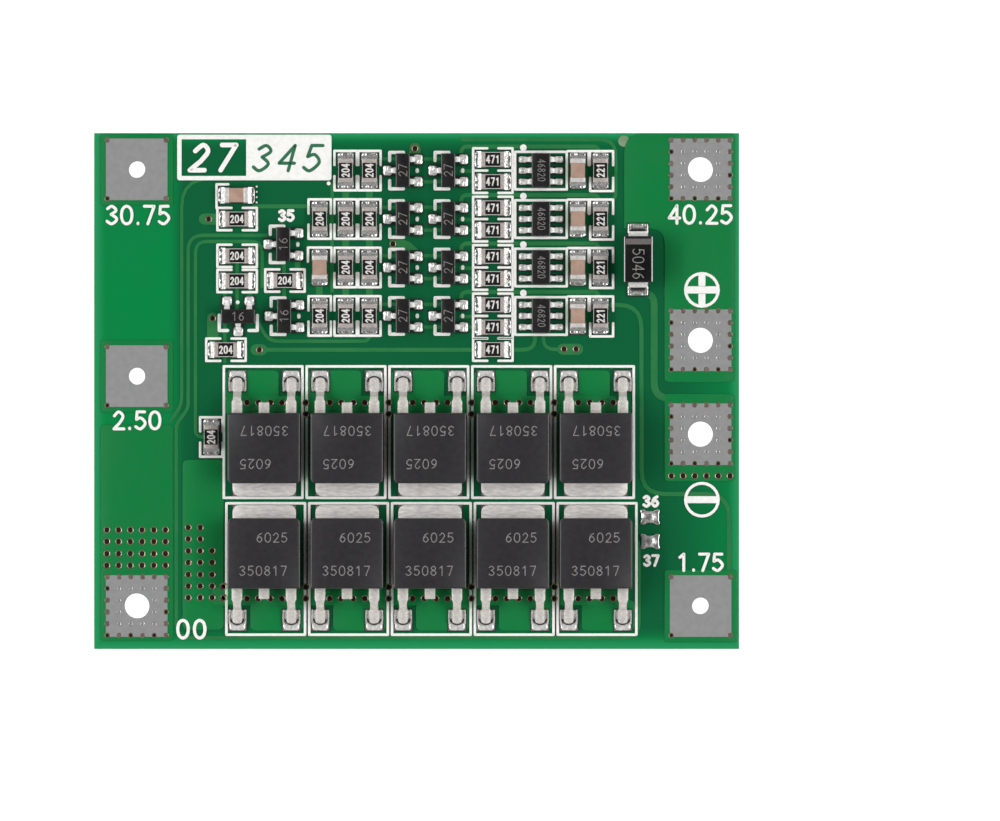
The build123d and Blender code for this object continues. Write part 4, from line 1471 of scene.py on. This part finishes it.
def small_lead(half_width):
    """Thin lead that runs out along +Y."""
    stations = [(half_width - 0.15, seat + 0.56, 0.46), (half_width + 0.1, seat + 0.55, 0.48),
                (half_width + 0.22, seat + 0.12, 0.4), (half_width + 0.34, seat + 0.07, 0.42),
                (half_width + 0.6, seat + 0.07, 0.4)]
    return ribbon("small_lead", stations, THIN, edge=0.025)


def around(pattern, spots):
    """Copies of a lead or drop at (y, side) spots of a package, the pattern used up."""
    twins = []
    for y, side in spots:
        twin = copied(pattern)
        twin.rotation_euler = (0, 0, math.radians(-90 * side))
        twin.location = (0, y, 0)
        twins.append(twin)
        apply_all(twin)
    bpy.data.objects.remove(pattern)
    return joined("set", *twins)


# %% [markdown]
# The eleven small transistors are one node for the mouldings and one for the leads, so each is
# repeated and joined. Their lands are short, and the solder stands high and uneven on them.

# %% Set down the small transistors
three = [(0, -1), (STEP, 1), (-STEP, 1)]
small_one = small_body(1.22, transistor_crown)
settle(repeated("small_transistor_mouldings", small_one, small_transistors),
       small_moulding, "small_moulding", "small_transistor_bodies")
settle(repeated("small_transistor_feet", around(small_lead(0.65), three), small_transistors),
       small_lead_tin, "lead_metal", "small_transistor_leads")
drop = mound("drop", 0.84, 0.78, 0.09, [(0.1, 0, 0.16, 0.5), (-0.25, 0.2, 0.08, 0.25)],
             cuts=(9, 9), seed=11, wobble=0.07, corner=0.13)
moved(drop, y=1.3, z=seat - 0.04)
settle(repeated("small_transistor_solder", around(drop, three), small_transistors),
       white_solder, "solder")

# %% [markdown]
# Each monitor chip watches one cell. Its moulding and its six leads are nodes of their own in the
# solid model, so they are set down one by one. The lands of all signal leads are one node, and
# the solder over them takes its place.

# %% Set down the monitor chips
six = [(STEP * step, side) for step in (-1, 0, 1) for side in (-1, 1)]
chip_body = small_body(1.6, monitor_crown)
chip_feet = around(small_lead(0.8), six)
for number, (x, y, turn) in enumerate(monitors, start=1):
    part = f"monitor_chip_{number}"
    set_down(chip_body, part + "_moulding", x, y, 0, small_moulding, "small_moulding",
             part + "_body")
    set_down(chip_feet, part + "_feet", x, y, 0, small_lead_tin, "lead_metal", part + "_leads")
bpy.data.objects.remove(chip_body)
bpy.data.objects.remove(chip_feet)
drop = mound("drop", 0.54, 0.7, 0.06, [(0, 0.05, 0.19, 0.35)], cuts=(6, 8), seed=17, wobble=0.04,
             corner=0.09)
moved(drop, y=1.54, z=seat - 0.03)
settle(repeated("monitor_chip_solder", around(drop, six), monitors), white_solder, "solder",
       "lands_signal")

# %% [markdown]
# The marks on the small mouldings are fine and faint. On a transistor they run along the body, and
# on a monitor chip they run down it.

# %% Mark the small packages
small_marks = round_curve("small_marks", 1.0, sides=0)
for x, y, turn in small_transistors:
    write(small_marks, "27" if x > -3 else "16", x, y, 0.7, 0.08, turn=90 - turn)
small_mark_piece = meshed(small_marks, transistor_crown - 0.01, transistor_crown + 0.006)
chip_marks = round_curve("chip_marks", 1.0, sides=0)
for x, y, turn in monitors:
    write(chip_marks, "46820", x + 0.05, y, 0.62, 0.07, turn=-90, narrow=0.7, gap=0.3)
chip_mark_piece = meshed(chip_marks, monitor_crown - 0.01, monitor_crown + 0.006)
small_package_marks = joined("small_package_marks", small_mark_piece, chip_mark_piece)
settle(small_package_marks, etched_mark, "small_moulding")

# %% [markdown]
# The power diode is a taller moulding on two terminals. A terminal leaves the moulding at half its
# height, folds down its end and turns in under it, so the ribbon's route does the same.

# %% Model the diode
low, high = low_high("diode_body")
diode_width, diode_length, diode_crown = high.x - low.x, high.y - low.y, high.z
TERMINAL_WIDTH = 1.62
both_ends = [(diode_x, diode_y, 0), (diode_x, diode_y, 180)]
stations = [(low.z, 0.06), (seat + 1.2, 0), (diode_crown - 0.06, 0.01), (diode_crown, 0.14)]
diode = grow("diode_moulding", diode_width, diode_length, stations)
soften(diode, 0.02)
settle(moved(diode, diode_x, diode_y), diode_black, "diode_moulding", "diode_body")
half = diode_length / 2
fold = [(half - 0.3, 1.1), (half + 0.2, 1.1), (half + 0.32, 1.0), (half + 0.32, 0.2),
        (half + 0.2, 0.1), (half - 0.9, 0.1)]
terminal = ribbon("terminal", [(y, seat + z, TERMINAL_WIDTH) for y, z in fold], 0.2)
terminals = repeated("diode_folded_terminals", terminal, both_ends)
settle(terminals, small_lead_tin, "lead_metal", "diode_terminals")

# %% [markdown]
# The solder at each terminal is a hollow ramp: high where it wets the metal, thin in its middle and
# bright at its rim. The hollow mirrors the dark above the board. That dark is a painted reflection,
# drawn as a dark, low mound that shows through the ramp.

# %% Solder the diode
hollow = mound("hollow", 1.36, 0.3, 0.14, [], cuts=(8, 4), seed=41, wobble=0.02, corner=0.06)
moved(hollow, y=half + 0.52, z=seat - 0.02)
settle(repeated("diode_solder_dark_reflections", hollow, both_ends), painted_dark_reflection, "solder")
lifts = [(x, 0.3, 0.16, 0.3) for x in (-0.7, -0.35, 0, 0.35, 0.7)]
lifts += [(-0.75, 0, 0.08, 0.3), (0.75, 0, 0.08, 0.3)]
ramp = mound("ramp", 1.78, 0.85, 0.1, lifts, cuts=(12, 8), seed=23, wobble=0.015, falloff="SHARP")
moved(ramp, y=half + 0.68, z=seat - 0.04)
settle(repeated("diode_solder", ramp, both_ends), bright_solder, "solder")

# %% [markdown]
# The moulding is glossy, and its two long upper edges catch the lights as thin bright lines. An
# edge that narrow has too little surface to mirror a light that is off to the side, so each line is
# a painted highlight: a thin rail in the pale lead finish, laid along the edge. The stripe at one
# end says which way current flows.

# %% Finish the diode
EDGE_INSET, STRIPE_WIDTH = 0.07, 0.5
rail = grow("diode_edge_line", 0.1, diode_length - 0.1, [(0, 0), (0.03, 0.02)])
edges = [(diode_x + side * (diode_width / 2 - EDGE_INSET), diode_y, 0) for side in (-1, 1)]
rails = repeated("diode_edge_highlights", rail, edges, diode_crown - 0.06)
settle(rails, small_lead_tin, "diode_moulding")
band = grow("diode_band", diode_width - 0.32, STRIPE_WIDTH, [(0, 0), (0.012, 0.01)])
moved(band, diode_x, diode_y + 1.5, diode_crown - 0.003)
settle(band, diode_stripe, "diode_moulding")
diode_mark = round_curve("diode_mark", 1.0, sides=0)
write(diode_mark, "5046", diode_x, diode_y - 0.4, 0.95, 0.09, turn=-90, narrow=0.85)
settle(meshed(diode_mark, diode_crown - 0.01, diode_crown + 0.008), etched_mark, "diode_moulding")

# %% [markdown]
# Two solder bridges by the right edge join a pair of lands each. A bridge is one drop over two
# lands, drawn in at its waist by the pull of its own skin. So a mound is pulled in at the middle of
# each of its four sides, as (axis, past this, within this, by how much), in proportional editing.

# %% Model the bridges
pillow = mound("pillow", 1.8, 1.35, 0.12, [(0, 0, 0.17, 0.85)], cuts=(9, 8), seed=31, wobble=0.008,
               corner=0.08)
for axis, edge, reach, pull in ((0, 0.85, 0.3, 0.12), (1, 0.6, 0.3, 0.15)):
    for side in (-1, 1):
        pick(pillow, lambda vertex: vertex.co[axis] * side > edge
             and abs(vertex.co[1 - axis]) < reach)
        inward = [0, 0, 0]
        inward[axis] = -pull * side
        bpy.ops.transform.translate(value=inward, use_proportional_edit=True,
                                    proportional_edit_falloff="SMOOTH", proportional_size=0.4)
        done()
settle(repeated("solder_pillows", pillow, bridges, seat - 0.06), bright_solder, "solder",
       "solder_bridges")
dress("lands_chips", bright_solder)
dress("lands_power", bright_solder)

# %% [markdown]
# The stage. The board lies on white paper that glows a little, so that the sheet stays even and
# white right up to the board's edge.

# %% Lay the floor
bpy.ops.object.select_all(action="DESELECT")
bpy.ops.mesh.primitive_plane_add(size=3, location=(0, 0, -0.0002))
floor = bpy.context.object
floor.name = "floor"
paper = bpy.data.materials.new("paper")
paper.use_nodes = True
for name, value in (
    ("Base Color", (0.95, 0.95, 0.95, 1)), ("Roughness", 0.9),
    ("Emission Color", (1, 1, 1, 1)), ("Emission Strength", 0.95),
):
    paper.node_tree.nodes["Principled BSDF"].inputs[name].default_value = value
floor.data.materials.append(paper)
print("floor", round(-floor.location.z / MM, 2), "mm below the board")

# %% [markdown]
# The sky is what the metal mirrors. Straight up it is dark, so flat solder looks grey and not
# white; half way up it is bright, and brighter to the left and right than to the front and back,
# so that sloping metal catches a light. It is only a ramp over the height that a ray points to.

# %% Paint the sky
sky = bpy.data.worlds.new("sky")
bpy.context.scene.world = sky
sky.use_nodes = True
sky_nodes, sky_links = sky.node_tree.nodes, sky.node_tree.links
direction = sky_nodes.new("ShaderNodeTexCoord")
split = sky_nodes.new("ShaderNodeSeparateXYZ")
glow = sky_nodes.new("ShaderNodeValToRGB")
sideways = sky_nodes.new("ShaderNodeMath")
sideways.operation = "ABSOLUTE"
strength = sky_nodes.new("ShaderNodeMapRange")
strength.inputs["To Min"].default_value = 0.4
strength.inputs["To Max"].default_value = 1.6
glow.color_ramp.interpolation = "EASE"
for position, brightness in ((0.2, 0.12), (0.45, 0.68), (0.8, 0.68), (0.95, 0.08)):
    stop = glow.color_ramp.elements.new(position)
    stop.color = (brightness, brightness, brightness, 1)
glow.color_ramp.elements.remove(glow.color_ramp.elements[0])
glow.color_ramp.elements.remove(glow.color_ramp.elements[-1])
sky_links.new(direction.outputs["Generated"], split.inputs["Vector"])
sky_links.new(split.outputs["Z"], glow.inputs["Fac"])
sky_links.new(split.outputs["X"], sideways.inputs[0])
sky_links.new(sideways.outputs["Value"], strength.inputs["Value"])
sky_links.new(glow.outputs["Color"], sky_nodes["Background"].inputs["Color"])
sky_links.new(strength.outputs["Result"], sky_nodes["Background"].inputs["Strength"])
print("sky:", len(glow.color_ramp.elements), "steps of brightness")

# %% [markdown]
# Lights. At each side stands a square panel for soft, even light on the board, and in front of it
# a long narrow one, which is what round metal shows as a crisp bright line. Both aim at the
# board's middle.

# %% Set up the lights
PANEL_SIZE, PANEL_POWER = (0.26, 0.26), 0.42
STRIP_SIZE, STRIP_POWER = (0.5, 0.035), 0.45


def softbox(name, place, size, watts):
    """A light panel aimed at the board."""
    light = bpy.data.lights.new(name, "AREA")
    light.shape = "RECTANGLE"
    light.size, light.size_y = size
    light.energy = watts
    lamp = bpy.data.objects.new(name, light)
    bpy.context.collection.objects.link(lamp)
    lamp.location = place
    lamp.rotation_euler = (-Vector(place)).to_track_quat("-Z", "Y").to_euler()


for side_name, side in (("left", -1), ("right", 1)):
    softbox(side_name + "_box", (0.31 * side, 0.0, 0.26), PANEL_SIZE, PANEL_POWER)
    softbox(side_name + "_strip", (0.29 * side, 0.0, 0.25), STRIP_SIZE, STRIP_POWER)
bpy.context.scene.view_settings.view_transform = "Standard"
print(len(bpy.data.lights), "lights")

# %% [markdown]
# The camera looks straight down through a long lens, from so far that the sides of the tall
# parts hardly show. The view is 85.25 mm wide, with the board left of its middle.

# %% Place the camera
view_width, view_centre_x, view_centre_y = 85.25, 7.11, -1.66
LENS, SENSOR = 300.0, 36.0
distance = view_width * LENS / SENSOR
eye = bpy.data.cameras.new("camera")
eye.lens = LENS
eye.sensor_width = SENSOR
camera = bpy.data.objects.new("camera", eye)
bpy.context.collection.objects.link(camera)
camera.location = (view_centre_x * MM, view_centre_y * MM, (core_top + distance) * MM)
bpy.context.scene.camera = camera
print("camera", round(distance), "mm above the laminate")
